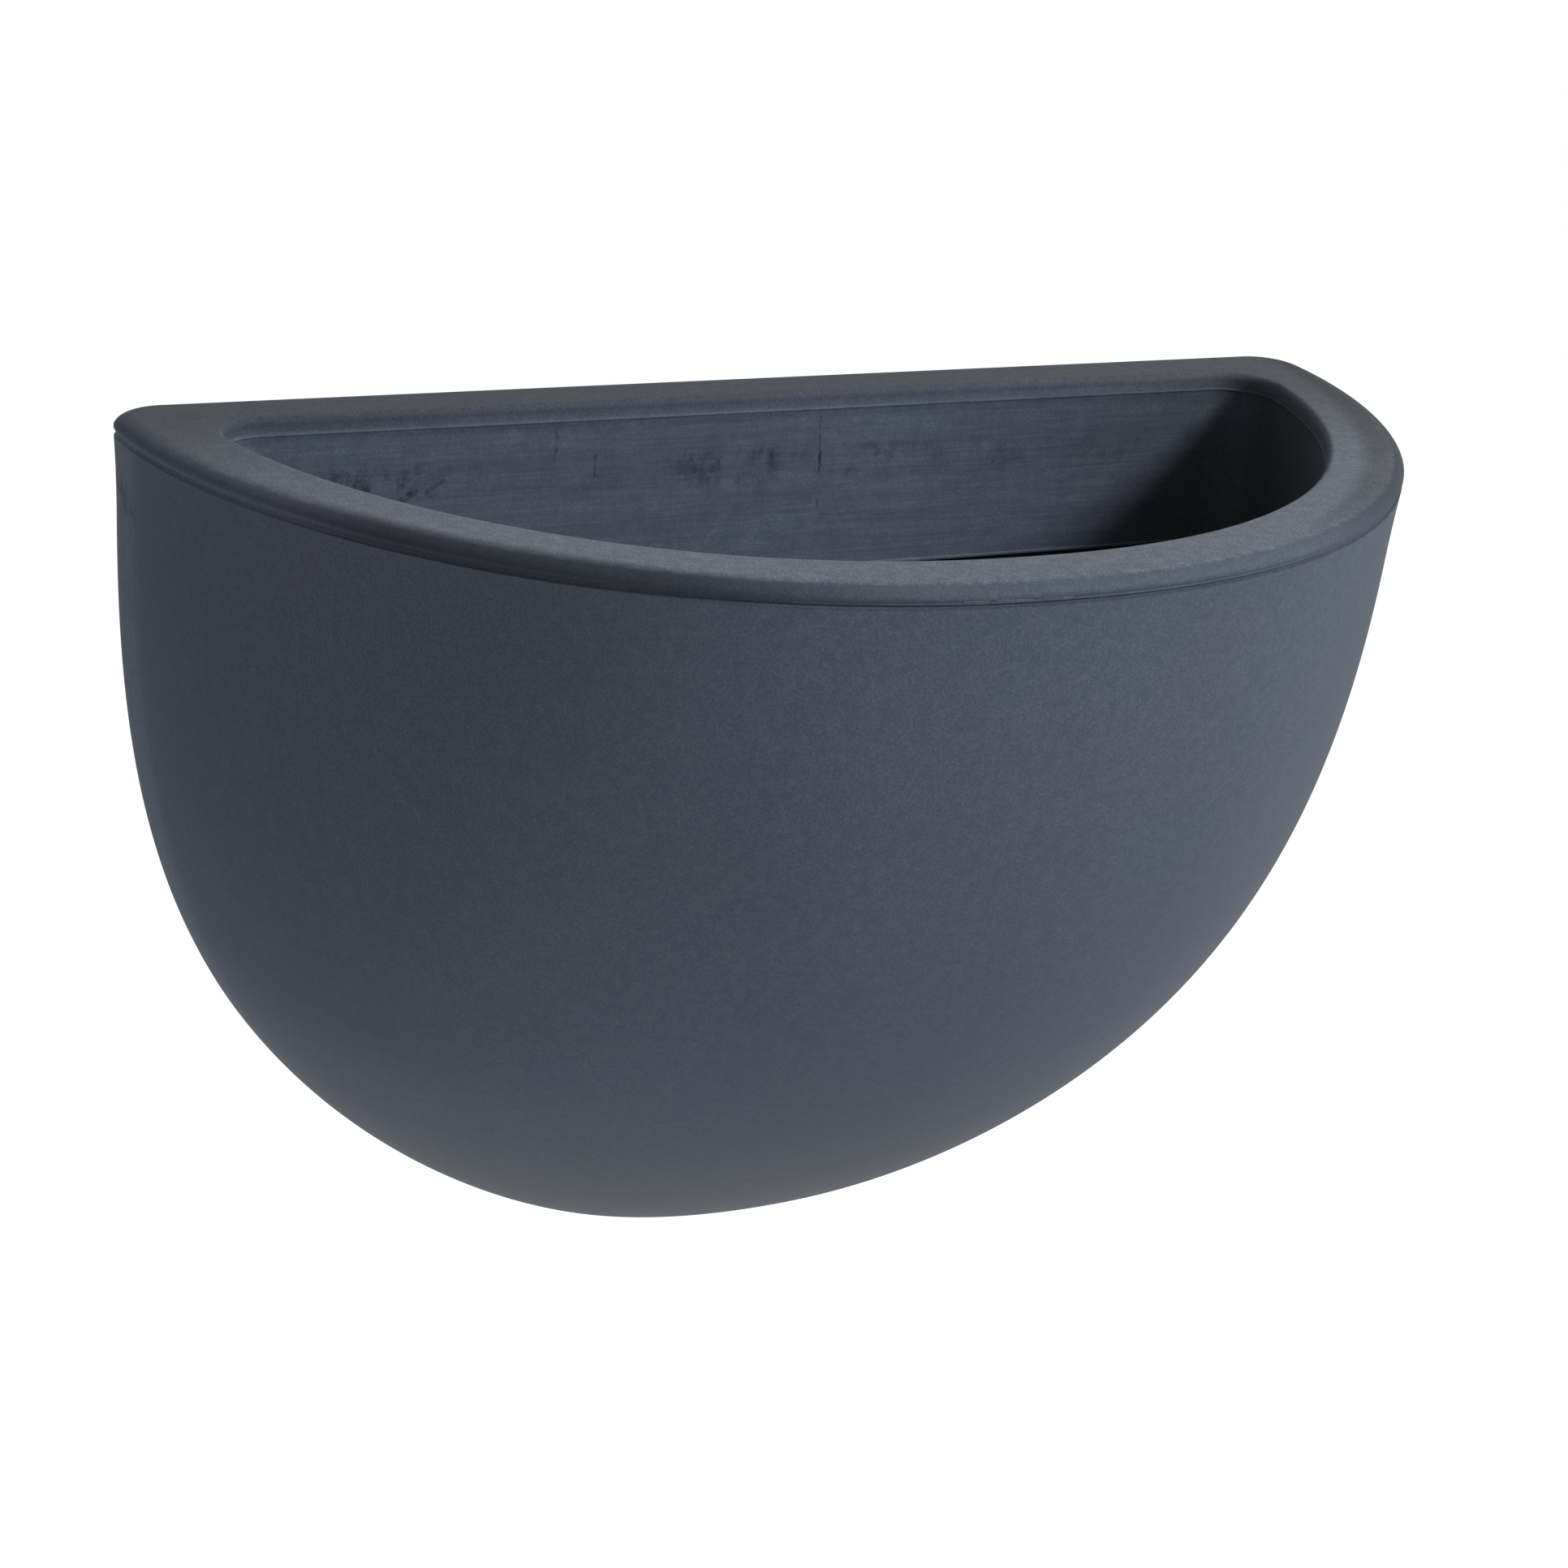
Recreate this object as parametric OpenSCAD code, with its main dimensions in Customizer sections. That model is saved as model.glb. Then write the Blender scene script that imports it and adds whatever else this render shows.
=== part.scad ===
// Half-round wall planter: a moulded half-bowl with a thick rolled rim and a flat back,
// hung on a steel wall rail and drained through one push-in plug.
// Millimetres. The wall is the plane y = 0 and the planter stands out from it along -Y.
// The origin is the middle of the rail's screw holes, on the wall.

/* [Planter] */
// Width across the back, under the rim
planter_w = 500; // [440:5:600]
// Depth from the wall to the front, under the rim
planter_d = 255; // [225:5:320]
// Height from the rim's top to the bottom
planter_h = 348; // [290:2:420]
// Thickness of the moulded skin
skin_t = 5; // [4:0.5:6]
// Radius of the two upright corners at the back
corner_r = 16; // [12:1:24]
// Plan curve: exponent across the width, where 2 is an ellipse
plan_across = 2.15; // [1.9:0.05:2.5]
// Plan curve: exponent along the depth, where 2 is an ellipse
plan_along = 1.85; // [1.7:0.05:2.3]

/* [Bowl profile] */
// Seen from the front: how long the sides stay upright before they turn in
side_power = 2.8; // [2:0.1:4]
// Seen from the front: share of the width that goes in a slow taper
side_taper = 0.13; // [0:0.01:0.3]
// Seen from the side: how long the front stays upright before it turns in
front_power = 3.4; // [2:0.1:4.5]
// Seen from the side: share of the depth that goes in a slow taper
front_taper = 0.43; // [0.1:0.01:0.5]

/* [Rim] */
// Width of the rim's top, from its outer edge to its inner edge
rim_w = 29; // [24:0.5:34]
// How far the rim's bead stands proud of the bowl
bead_out = 1.5; // [1.5:0.25:3]
// Height of the bead, from the rim's top to the groove under it
bead_h = 6.5; // [6.5:0.5:10]
// Height of the groove under the bead
groove_h = 1.2; // [0.8:0.2:2]
// Depth of the groove, from the bead's side
groove_d = 0.8; // [0.6:0.1:1.2]
// How far the bowl flares out to meet the groove
flare_out = 1.2; // [0.6:0.1:1.4]
// Height over which the flare runs out
flare_h = 30; // [16:2:40]
// Rounding of the rim's outer top edge
rim_r = 4; // [3:0.5:6]
// Rounding of the rim's inner top edge
lip_r = 3.5; // [3:0.5:8]
// Depth of the skirt that turns down inside the rim, to the step in its face
skirt_h = 71.5; // [60:0.5:90]
// Depth of the step in the skirt's face
skirt_step = 2; // [1:0.5:2.5]
// Height of the thinner foot under the step
skirt_foot = 12; // [8:1:16]
// Width of the rim at the back, from the wall to its inner edge
back_rim_w = 25; // [23:1:32]
// Radius of the opening's two back corners
mouth_corner_r = 18; // [10:1:24]

/* [Wall rail] */
// Length of the rail
rail_l = 290; // [270:5:320]
// Height of the rail
rail_h = 30; // [26:1:32]
// Thickness of the rail
rail_t = 3; // [2:0.5:3.5]
// Rounding of the rail's corners
rail_corner_r = 4; // [2:0.5:8]
// Distance between the two wall screws
screw_pitch = 260; // [240:5:260]
// Radius of the wall screw holes
screw_r = 2.75; // [2:0.25:3.5]
// Distance between the two studs
stud_pitch = 160; // [140:5:180]
// Radius of a stud's shank
shank_r = 4; // [3:0.25:4.5]
// Radius of a stud's head
head_r = 7; // [6:0.25:7.5]
// Thickness of a stud's head
head_t = 3; // [2:0.5:3.5]
// Radius of the tail that is pressed into the rail
tail_r = 3; // [2:0.25:3]

/* [Hanging] */
// Height from the studs up to the rim's top
hang_depth = 46; // [44:1:50]
// Travel that lifts the planter off its studs
lift = 14; // [12:1:15]
// Depth of the recess in the planter's back
recess_d = 8; // [7:0.5:9]
// Space round the rail inside the recess
recess_gap = 2; // [1:0.5:2]
// Space beside a stud's head where the skin is slotted
slot_side = 1.5; // [1:0.5:3]
// Width of a keyhole plate
plate_w = 50; // [46:1:56]
// Height of a keyhole plate
plate_h = 38; // [36:1:40]
// Thickness of a keyhole plate
plate_t = 2; // [1.5:0.5:2.5]
// Rounding of a keyhole plate's corners
plate_corner_r = 4; // [2:0.5:5]
// Clearance round the shank in its slot, and behind the plate
slot_gap = 0.3; // [0.2:0.1:0.5]
// Clearance round the head where it passes the plate
entry_gap = 0.75; // [0.5:0.25:1]

/* [Rivets] */
// Radius of a rivet's shank
rivet_r = 2; // [1.5:0.25:2.25]
// Clearance round a rivet's shank
rivet_gap = 0.05; // [0.02:0.01:0.1]
// Distance from a rivet's middle to the plate's edges
rivet_edge = 5.5; // [5:0.5:6]
// Radius of a rivet's head
rivet_head_r = 3.8; // [3.4:0.2:4.4]
// Height of a rivet's head
rivet_head_h = 1.2; // [0.8:0.1:1.5]
// Radius of the swelling behind the skin
rivet_tail_r = 3.2; // [2.8:0.2:3.8]
// Length of the swelling behind the skin
rivet_tail_l = 3; // [2:0.5:4]

/* [Drain] */
// Distance of the drain from the wall, along the outside
drain_from_wall = 24; // [22:1:60]
// Radius of the drain hole
drain_r = 8; // [6:0.5:9]
// Radius of the plug's flange
flange_r = 13; // [12:0.5:14]
// Thickness of the plug's flange
flange_t = 2; // [2:0.25:3]
// Rounding of the flange's outer edge
flange_round = 1; // [0.5:0.25:1.5]
// Clearance round the flange in its seat
flange_gap = 0.6; // [0.4:0.1:1]
// Depth of the flat seat cut round the hole
seat_depth = 2; // [1.4:0.2:2]
// Clearance between the plug's ribs and the hole
plug_gap = 0.08; // [0.04:0.02:0.1]
// Clearance between the plug's barrel and the hole
barrel_gap = 0.6; // [0.4:0.1:1]
// Length of the plug's barrel
barrel_l = 12; // [10:1:16]
// Wall of the plug's hollow barrel
barrel_wall = 2; // [1.5:0.25:3]
// Height of one sealing rib
rib_h = 1; // [0.6:0.1:1.2]
// Width of the pry slot across the flange
pry_w = 3; // [2:0.5:4]
// Depth of the pry slot
pry_d = 1.2; // [0.8:0.1:1.5]

/* [Hidden] */
$fn = 64;
eps = 0.01;
// How far a cutting shape runs past the face it cuts
past = 1;

// Colours as seen
slate = [0.30, 0.33, 0.38];
zinc = [0.62, 0.64, 0.66];
black = [0.09, 0.09, 0.10];

half_w = planter_w / 2;
rim_z = hang_depth;
skirt_inset = rim_w - bead_out;

// How finely the bowl is drawn: points round one back corner and along one half of the
// plan curve, rings down the outside and the inside, and steps round a rolled edge
corner_steps = 4;
curve_steps = 18;
outside_rings = 18;
inside_rings = 16;
edge_steps = 4;

// Where the slow tapers bite: late on the sides, early at the front
side_late = 6;
front_early = 1.7;
// The lowest ring outside and inside, as shares of the height; a flat cap closes each
last_outside = 0.9996;
last_inside = 0.998;
// Halvings of the interval when an equation is solved, and the step of a slope
halvings = 30;
slope_step = 0.001;
// No corner takes more than this share of a narrow ring's width or depth
corner_share = 0.45;
// Bevel at the end of a rivet's tail and of the plug's barrel
end_bevel = 1;
// Rubber left between the plug's flange and its hollow barrel
plug_web = 0.5;

// Half width and depth of the bowl, as shares, at the share u of its height
function side_share(u) =
    (1 - side_taper * pow(u, side_late)) * sqrt(1 - pow(u, side_power));
function front_share(u) =
    (1 - front_taper * pow(u, front_early)) * sqrt(1 - pow(u, front_power));

// Plan curve: the corner radius r rolls round a core curve p across and q deep.
// The angle t runs from 0 at the side to 90 at the front.
function power(x, e) = x <= 0 ? 0 : pow(x, e);
function core_normal(p, q, t) =
    let (nx = plan_across / p * power(cos(t), 2 - 2 / plan_across),
         ny = -plan_along / q * power(sin(t), 2 - 2 / plan_along))
    [nx, ny] / norm([nx, ny]);
function rolled(p, q, r, g, t) =
    [p * power(cos(t), 2 / plan_across), -r - q * power(sin(t), 2 / plan_along)]
    + g * core_normal(p, q, t);
// The angle at which the curve rolled out by g is y deep
function angle_at(p, q, r, g, y, low = 0, high = 90, n = halvings) =
    n == 0 ? low
    : let (mid = (low + high) / 2)
      rolled(p, q, r, g, mid)[1] > y
      ? angle_at(p, q, r, g, y, mid, high, n - 1)
      : angle_at(p, q, r, g, y, low, mid, n - 1);

// One ring at the height z: the outline of a bowl section a wide and b deep, moved out
// by grow, cut straight at the depth back and rounded there by the radius fillet
function ring(z, a, b, grow, back, fillet) =
    let (r = min(corner_r, corner_share * a, corner_share * b),
         p = a - r,
         q = b - 2 * r,
         f = min(fillet, corner_share * (a + grow), corner_share * (b + grow - back)),
         t0 = back + f <= r + eps ? 0 : angle_at(p, q, r, r + grow - f, -back - f),
         middle = [rolled(p, q, r, r + grow - f, t0)[0], -back - f],
         n0 = core_normal(p, q, t0),
         w0 = atan2(n0[1], n0[0]),
         corner = [for (i = [0 : corner_steps - 1])
             let (w = 90 + (w0 - 90) * i / corner_steps) middle + f * [cos(w), sin(w)]],
         curve = [for (i = [0 : curve_steps])
             rolled(p, q, r, r + grow, t0 + (90 - t0) * i / curve_steps)],
         half = concat(corner, curve),
         n = len(half))
    concat([for (i = [0 : n - 1]) [half[i][0], half[i][1], z]],
           [for (i = [n - 2 : -1 : 0]) [-half[i][0], half[i][1], z]]);

// A section of the bowl at the share u of its height, inset by the distance off and then
// moved out by flare
function bowl_ring(u, off, flare = 0) =
    ring(rim_z - (planter_h - off) * u, (half_w - off) * side_share(u) + off,
         (planter_d - off) * front_share(u) + off, flare - off, off, corner_r - off);
// A section of the rim at a depth below its top, moved out from the bowl by grow
function rim_ring(depth, grow, back, fillet) =
    ring(rim_z - depth, half_w, planter_d, grow, back, fillet);
// A section at a depth below the rim's top, moved out from the opening's edge by t
function mouth_ring(depth, t) =
    rim_ring(depth, t - skirt_inset, back_rim_w - t, mouth_corner_r + t);
// Shares of the height, packed more closely where the bowl turns in
function shares(first, last, n) =
    [for (i = [0 : n]) sin(asin(first) + (asin(last) - asin(first)) * i / n)];

// The wall of the shell, ring by ring: up the outside and the flare, over the rim, down
// and round the skirt, up behind it and down the inside
flare_top = bead_h + groove_h;
outside = [for (u = shares((flare_top + flare_h) / planter_h, last_outside, outside_rings))
    bowl_ring(u, 0)];
flared = [for (i = [1 : edge_steps])
    let (s = i / edge_steps)
    bowl_ring((flare_top + flare_h * (1 - s)) / planter_h, 0, flare_out * s ^ 2)];
bead = concat([rim_ring(bead_h + groove_h / 2, bead_out - groove_d, 0, corner_r),
        rim_ring(bead_h, bead_out, 0, corner_r)],
    [for (i = [0 : edge_steps])
        let (w = 90 * i / edge_steps, in = rim_r * (1 - cos(w)))
        rim_ring(rim_r * (1 - sin(w)), bead_out - in, in, corner_r - in)]);
lip = [for (i = [0 : edge_steps])
    let (w = 90 * i / edge_steps)
    mouth_ring(lip_r * (1 - cos(w)), lip_r * (1 - sin(w)))];
skirt = concat([for (t = [0, skirt_step]) mouth_ring(skirt_h, t)],
    [for (t = [skirt_step, skin_t]) mouth_ring(skirt_h + skirt_foot, t)]);
behind = [for (bevel = [1, 0])
    mouth_ring(skin_t * (1 + bevel / 2), skin_t * (3 - bevel) / 2)];
inside = concat([rim_ring(skin_t, -skin_t * 1.5, skin_t * 1.5, corner_r - skin_t)],
    [for (u = shares((skin_t + bead_h) / planter_h, last_inside, inside_rings))
        bowl_ring(u, skin_t)]);
function backwards(v) = [for (i = [len(v) - 1 : -1 : 0]) v[i]];
shell_rings = concat(backwards(outside), flared, bead, lip, skirt, behind, inside);

// A closed skin over a list of rings that have the same number of points
module lofted(rings) {
    n = len(rings[0]);
    m = len(rings);
    points = [for (r = rings) each r];
    sides = [for (j = [0 : m - 2]) for (i = [0 : n - 1])
        let (a = j * n + i, b = j * n + (i + 1) % n)
        each [[a, b, a + n], [b, b + n, a + n]]];
    first_cap = [for (i = [n - 1 : -1 : 0]) i];
    last_cap = [for (i = [0 : n - 1]) (m - 1) * n + i];
    polyhedron(points, concat(sides, [first_cap, last_cap]), convexity = 6);
}

// A plate w wide, h high and t thick with rounded corners, standing against the plane
// y = -depth on its far side from the wall
module standing(depth) translate([0, -depth, 0]) rotate([90, 0, 0]) children();
module rounded_plate(w, h, t, r)
    linear_extrude(t) {
        square([w - 2 * r, h], center = true);
        square([w, h - 2 * r], center = true);
        for (x = [-1, 1], y = [-1, 1])
            translate([x * (w / 2 - r), y * (h / 2 - r)]) circle(r);
    }

// Keyholes. The shank hangs at the slot's top, and the head passes at the slot's foot.
plate_y = recess_d - plate_t;
entry_r = head_r + entry_gap;
slot_r = shank_r + slot_gap;
plate_mid_z = (slot_r - lift - entry_r) / 2;
rivet_x = plate_w / 2 - rivet_edge;
rivet_z = plate_h / 2 - rivet_edge;
head_y = recess_d + slot_gap;

module slot(r, from, to) {
    for (z = [0, -lift]) translate([0, 0, z]) standing(from) cylinder(r = r, h = to - from);
    translate([-r, -to, -lift]) cube([2 * r, to - from, lift]);
}
module at_studs() for (s = [-1, 1]) translate([s * stud_pitch / 2, 0, 0]) children();
module at_rivets()
    for (x = [-1, 1], z = [-1, 1])
        translate([x * rivet_x, 0, plate_mid_z + z * rivet_z]) children();

// The drain lies square to the outside at the distance drain_from_wall from the wall
function outside_yz(u) = [-planter_d * front_share(u), rim_z - planter_h * u];
function share_at(y, low = 0.5, high = 1, n = halvings) =
    n == 0 ? low
    : let (mid = (low + high) / 2)
      outside_yz(mid)[0] < -y ? share_at(y, mid, high, n - 1) : share_at(y, low, mid, n - 1);
drain_u = share_at(drain_from_wall);
drain_at = outside_yz(drain_u);
drain_run = outside_yz(drain_u + slope_step) - outside_yz(drain_u - slope_step);
drain_tilt = atan2(-drain_run[1], drain_run[0]);
module at_drain()
    translate([0, drain_at[0], drain_at[1]]) rotate([-drain_tilt, 0, 0]) children();

// The recess that takes the rail, and the pocket of skin round it
recess_top = rail_h / 2 + recess_gap;
recess_foot = -rail_h / 2 - recess_gap - lift;
module recess_box(wall, from)
    translate([-rail_l / 2 - recess_gap - wall, -recess_d - wall, recess_foot - wall])
        cube([rail_l + 2 * (recess_gap + wall), recess_d + wall + from,
            recess_top - recess_foot + 2 * wall]);

module planter_shell() color(slate) difference() {
    union() {
        lofted(shell_rings);
        recess_box(skin_t, 0);
    }
    recess_box(0, past);
    at_studs() {
        slot(head_r + slot_side, recess_d - past, recess_d + skin_t + past);
        at_rivets() standing(recess_d - past)
            cylinder(r = rivet_r + rivet_gap, h = skin_t + 2 * past);
    }
    at_drain() translate([0, 0, -flange_r]) {
        cylinder(r = drain_r, h = flange_r + 3 * skin_t);
        cylinder(r = flange_r + flange_gap, h = flange_r + seat_depth);
    }
}

module keyhole_plate(side) color(zinc) translate([side * stud_pitch / 2, 0, 0]) difference() {
    translate([0, 0, plate_mid_z]) standing(plate_y)
        rounded_plate(plate_w, plate_h, plate_t, plate_corner_r);
    slot(slot_r, plate_y - past, recess_d + past);
    translate([0, 0, -lift]) standing(plate_y - past)
        cylinder(r = entry_r, h = plate_t + 2 * past);
    at_rivets() standing(plate_y - past)
        cylinder(r = rivet_r + rivet_gap, h = plate_t + 2 * past);
}
module keyhole_plate_left() keyhole_plate(-1);
module keyhole_plate_right() keyhole_plate(1);

// Blind rivets: a low domed head on the plate, a shank, and a swelling behind the skin
module rivet() {
    grip = plate_t + skin_t;
    dome_r = (rivet_head_r ^ 2 + rivet_head_h ^ 2) / (2 * rivet_head_h);
    dome = [for (i = [0 : edge_steps])
        let (w = asin(rivet_head_r / dome_r) * i / edge_steps)
        [dome_r * sin(w), dome_r * (1 - cos(w)) - rivet_head_h]];
    rotate_extrude() polygon(concat(dome, [[rivet_r, 0], [rivet_r, grip],
        [rivet_tail_r, grip], [rivet_tail_r, grip + rivet_tail_l - end_bevel],
        [rivet_tail_r - end_bevel, grip + rivet_tail_l], [0, grip + rivet_tail_l]]));
}
module plate_rivets() color(zinc) at_studs() at_rivets() standing(plate_y) rivet();

module wall_rail() color(zinc) difference() {
    standing(0) rounded_plate(rail_l, rail_h, rail_t, rail_corner_r);
    for (s = [-1, 1]) translate([s * screw_pitch / 2, 0, 0])
        standing(-past) cylinder(r = screw_r, h = rail_t + 2 * past);
    at_studs() standing(-past) cylinder(r = tail_r, h = rail_t + 2 * past);
}

module rail_studs() color(zinc) at_studs() {
    standing(0) cylinder(r = tail_r, h = rail_t);
    standing(rail_t) cylinder(r = shank_r, h = head_y - rail_t);
    standing(head_y) cylinder(r = head_r, h = head_t);
}

// The plug's flange lies in its seat; its hollow barrel and two ribs stand in the hole
module drain_plug() color(black) at_drain() translate([0, 0, seat_depth]) difference() {
    barrel_r = drain_r - barrel_gap;
    rib_r = drain_r - plug_gap;
    rotate_extrude() polygon([
        [0, -flange_t], [flange_r - flange_round, -flange_t], [flange_r, flange_round - flange_t],
        [flange_r, 0], [rib_r, 0], [rib_r, rib_h], [barrel_r, rib_h], [barrel_r, 2 * rib_h],
        [rib_r, 2 * rib_h], [rib_r, 3 * rib_h], [barrel_r, 3 * rib_h],
        [barrel_r, barrel_l - end_bevel], [barrel_r - end_bevel, barrel_l],
        [barrel_r - barrel_wall, barrel_l], [barrel_r - barrel_wall, plug_web],
        [0, plug_web]]);
    translate([-flange_r, -pry_w / 2, -flange_t - past])
        cube([2 * flange_r, pry_w, pry_d + past]);
}

planter_shell();
keyhole_plate_left();
keyhole_plate_right();
plate_rivets();
wall_rail();
rail_studs();
drain_plug();
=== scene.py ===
"""A half-round wall planter: its fine shapes, finishes and stage, made round the packed solids."""

import functools
import math
import operator

import bmesh
import bpy
from mathutils import Matrix, Vector


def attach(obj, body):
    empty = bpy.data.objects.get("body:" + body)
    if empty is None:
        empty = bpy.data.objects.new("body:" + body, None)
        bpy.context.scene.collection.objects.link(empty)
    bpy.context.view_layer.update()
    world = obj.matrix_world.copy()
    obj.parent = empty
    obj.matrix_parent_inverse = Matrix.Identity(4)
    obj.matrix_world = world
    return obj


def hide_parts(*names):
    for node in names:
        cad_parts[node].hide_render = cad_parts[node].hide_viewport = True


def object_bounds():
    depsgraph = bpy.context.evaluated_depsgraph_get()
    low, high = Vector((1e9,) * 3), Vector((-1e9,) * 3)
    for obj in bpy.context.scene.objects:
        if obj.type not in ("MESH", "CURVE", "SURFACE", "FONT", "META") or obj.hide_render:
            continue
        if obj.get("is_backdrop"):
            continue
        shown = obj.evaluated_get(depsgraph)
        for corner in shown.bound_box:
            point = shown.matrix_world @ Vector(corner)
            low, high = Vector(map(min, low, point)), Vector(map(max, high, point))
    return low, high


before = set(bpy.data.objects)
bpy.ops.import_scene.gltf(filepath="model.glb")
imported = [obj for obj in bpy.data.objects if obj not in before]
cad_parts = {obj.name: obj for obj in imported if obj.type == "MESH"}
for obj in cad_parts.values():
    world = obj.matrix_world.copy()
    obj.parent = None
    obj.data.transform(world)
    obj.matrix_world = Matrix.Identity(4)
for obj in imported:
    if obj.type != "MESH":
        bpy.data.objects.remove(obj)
CAD_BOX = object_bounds()

bl_info = {
    "name": "Half-round wall planter",
    "version": (1, 0, 0),
    "blender": (4, 5, 0),
    "location": "3D View > Sidebar > Planter",
    "description": "Builds a half-round wall planter with its wall rail, keyholes and drain plug",
    "category": "Object",
}

MM = 0.001
HALF_TURN = math.pi
QUARTER_TURN = math.pi / 2

# Turns what lies flat up against the wall, with its axis towards the room
UPRIGHT = (QUARTER_TURN, 0.0, 0.0)
# The bowl's end rings, as shares of the height, and the share of a narrow ring its corner takes
LAST_OUTSIDE = 0.9996
LAST_INSIDE = 0.998
CORNER_SHARE = 0.45
# Where the slow tapers bite: late on the sides, early at the front
SIDE_LATE = 6.0
FRONT_EARLY = 1.7
# The groove under the bead grows from its share at the left end over this stretch of the curve
GROOVE_GROWS = (0.22, 0.50)
GROOVE_LEAST = 0.12
# Where on the outer drop the sheet of the bead's side meets that of its rounded top, as a share
TOP_SHEET = 0.7
# The skin's turn under the rim, in skins
CEILING_TURN = 1.5
# Points nearer than this are one point
WELD = 0.01 * MM
# How often the search for the opening's corner halves what is left
HALVINGS = 50
# A cutter stands this far off a face that it would otherwise share
CLEAR = 0.02 * MM
# How far a cutter reaches past what it cuts, and the one for the seat past the bowl's foot
PAST = 1 * MM
SEAT_PAST = 10 * MM
# The pocket of skin round the recess starts this far from the wall
POCKET_GAP = 2 * MM
# Room round a rivet, the rounding of a slot's edges in front and behind, its rows in a cutter, and
# how many skins long the bore's cutter is
RIVET_ROOM = 0.05 * MM
SLOT_EDGES = (0.5 * MM, 0.1 * MM)
EDGE_ROWS = 5
BORE_SKINS = 8
# Edges under the first angle are shaded smooth; on the steel sheets, those over the second are
# rounded and those under the third are taken out
SMOOTH_UNDER = math.radians(30.0)
SHARP_OVER = math.radians(40.0)
FLAT_UNDER = math.radians(1.0)
# Steps round the drain, the plug, a stud and a rivet, and round a rivet's hole
DRAIN_STEPS, PLUG_STEPS, STUD_STEPS, RIVET_STEPS, HOLE_STEPS = 64, 72, 64, 32, 24
# The middle of the planter, which the lamps face
LIT = (0.0, -0.12, -0.12)
# Half the width of the floor, the width of the camera's sensor in millimetres, and its reach
FLOOR_HALF = 40.0
SENSOR = 36.0
NEAREST, FARTHEST = 0.05, 100.0


# Settings

def length(name, description, mm):
    return bpy.props.FloatProperty(
        name=name, description=description, default=mm * MM, min=0.0, unit="LENGTH",
        precision=5)


def number(name, description, value, low=0.0, high=10.0):
    return bpy.props.FloatProperty(
        name=name, description=description, default=value, min=low, max=high)


def share(name, description, value):
    return bpy.props.FloatProperty(
        name=name, description=description, default=value, min=0.0, max=1.0, subtype="FACTOR")


def turn(name, description, degrees):
    return bpy.props.FloatProperty(
        name=name, description=description, default=math.radians(degrees), subtype="ANGLE")


def colour(name, description, rgb):
    return bpy.props.FloatVectorProperty(
        name=name, description=description, default=rgb, size=3, min=0.0, max=1.0,
        subtype="COLOR")


def steps(name, description, value):
    return bpy.props.IntProperty(name=name, description=description, default=value, min=1)


class BowlSettings(bpy.types.PropertyGroup):
    """Sizes of the moulded half-bowl"""
    width: length("Width", "Width across the back, under the rim", 500)
    depth: length("Depth", "Depth from the wall to the front, under the rim", 255)
    height: length("Height", "Height from the rim's top to the bottom", 348)
    skin: length("Skin", "Thickness of the moulded skin", 5)
    corner: length("Corner", "Radius of the two upright corners at the back", 16)
    across: number("Plan across", "Plan exponent across the width, 2 is an ellipse", 2.15, 1.5, 3)
    along: number("Plan along", "Plan exponent along the depth, 2 is an ellipse", 1.85, 1.5, 3)
    side_power: number("Side power", "How long the sides stay upright", 2.8, 1, 6)
    side_taper: share("Side taper", "Share of the width that goes in a slow taper", 0.13)
    front_power: number("Front power", "How long the front stays upright", 3.4, 1, 6)
    front_taper: share("Front taper", "Share of the depth that goes in a slow taper", 0.43)
    back_steps: steps("Back steps", "Points along one half of the flat back", 10)
    corner_steps: steps("Corner steps", "Points round one back corner", 8)
    curve_steps: steps("Curve steps", "Points along one half of the plan curve", 64)
    outside_rings: steps("Outside rings", "Rings down the outside", 90)
    inside_rings: steps("Inside rings", "Rings down the inside", 56)


class RimSettings(bpy.types.PropertyGroup):
    """Sizes of the rolled rim"""
    top: length("Rim height", "Height of the rim's top over the wall screws", 46)
    width: length("Rim width", "Width of the rim's top", 29)
    bead_out: length("Bead out", "How far the bead stands proud of the bowl", 1.5)
    bead_height: length("Bead height", "Height of the bead down to the groove under it", 6.5)
    bead_roll: length("Bead roll", "How far the bead's side pulls in towards its foot", 1.0)
    groove_height: length("Groove height", "Height of the groove under the bead", 1.2)
    groove_depth: length("Groove depth", "Depth of the groove under the bead", 0.8)
    line_height: length("Line height", "Height of the fine line above the groove", 1.0)
    line_depth: length("Line depth", "Depth of the fine line above the groove", 0.18)
    flare: length("Flare", "How far the bowl flares out to meet the groove", 1.2)
    flare_height: length("Flare height", "Height over which the flare runs out", 30)
    outer_round: length("Outer rounding", "Width over which the outer top edge is rounded", 8)
    outer_drop: length("Outer drop", "Height over which the outer top edge is rounded", 4.6)
    back_round: length("Back rounding", "Rounding of the top edge along the wall", 3)
    lip_round: length("Lip rounding", "Width over which the rim's inner top edge is rounded", 2.4)
    lip_drop: length("Lip drop", "Height over which the rim's inner top edge is rounded", 2.8)
    ridge_from: length("Ridge from", "Depth of the fine ridge under the inner lip", 6.1)
    ridge_height: length("Ridge height", "Height of the fine ridge under the lip", 1.5)
    ridge_out: length("Ridge out", "How far the fine ridge stands out under the lip", 0.32)
    skirt: length("Skirt", "Depth of the skirt inside the rim, to the step in its face", 71.5)
    skirt_step: length("Skirt step", "Depth of the step in the skirt's face", 2)
    skirt_foot: length("Skirt foot", "Height of the thinner foot under the step", 12)
    skirt_edge: length("Skirt edge", "Rounding of the skirt's edges", 0.8)
    hem: length("Hem", "How far the skirt's face swells just over the step", 0.5)
    back_width: length("Back width", "Width of the rim at the back", 25)
    mouth_corner: length("Mouth corner", "Radius of the opening's back corners", 19)


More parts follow.
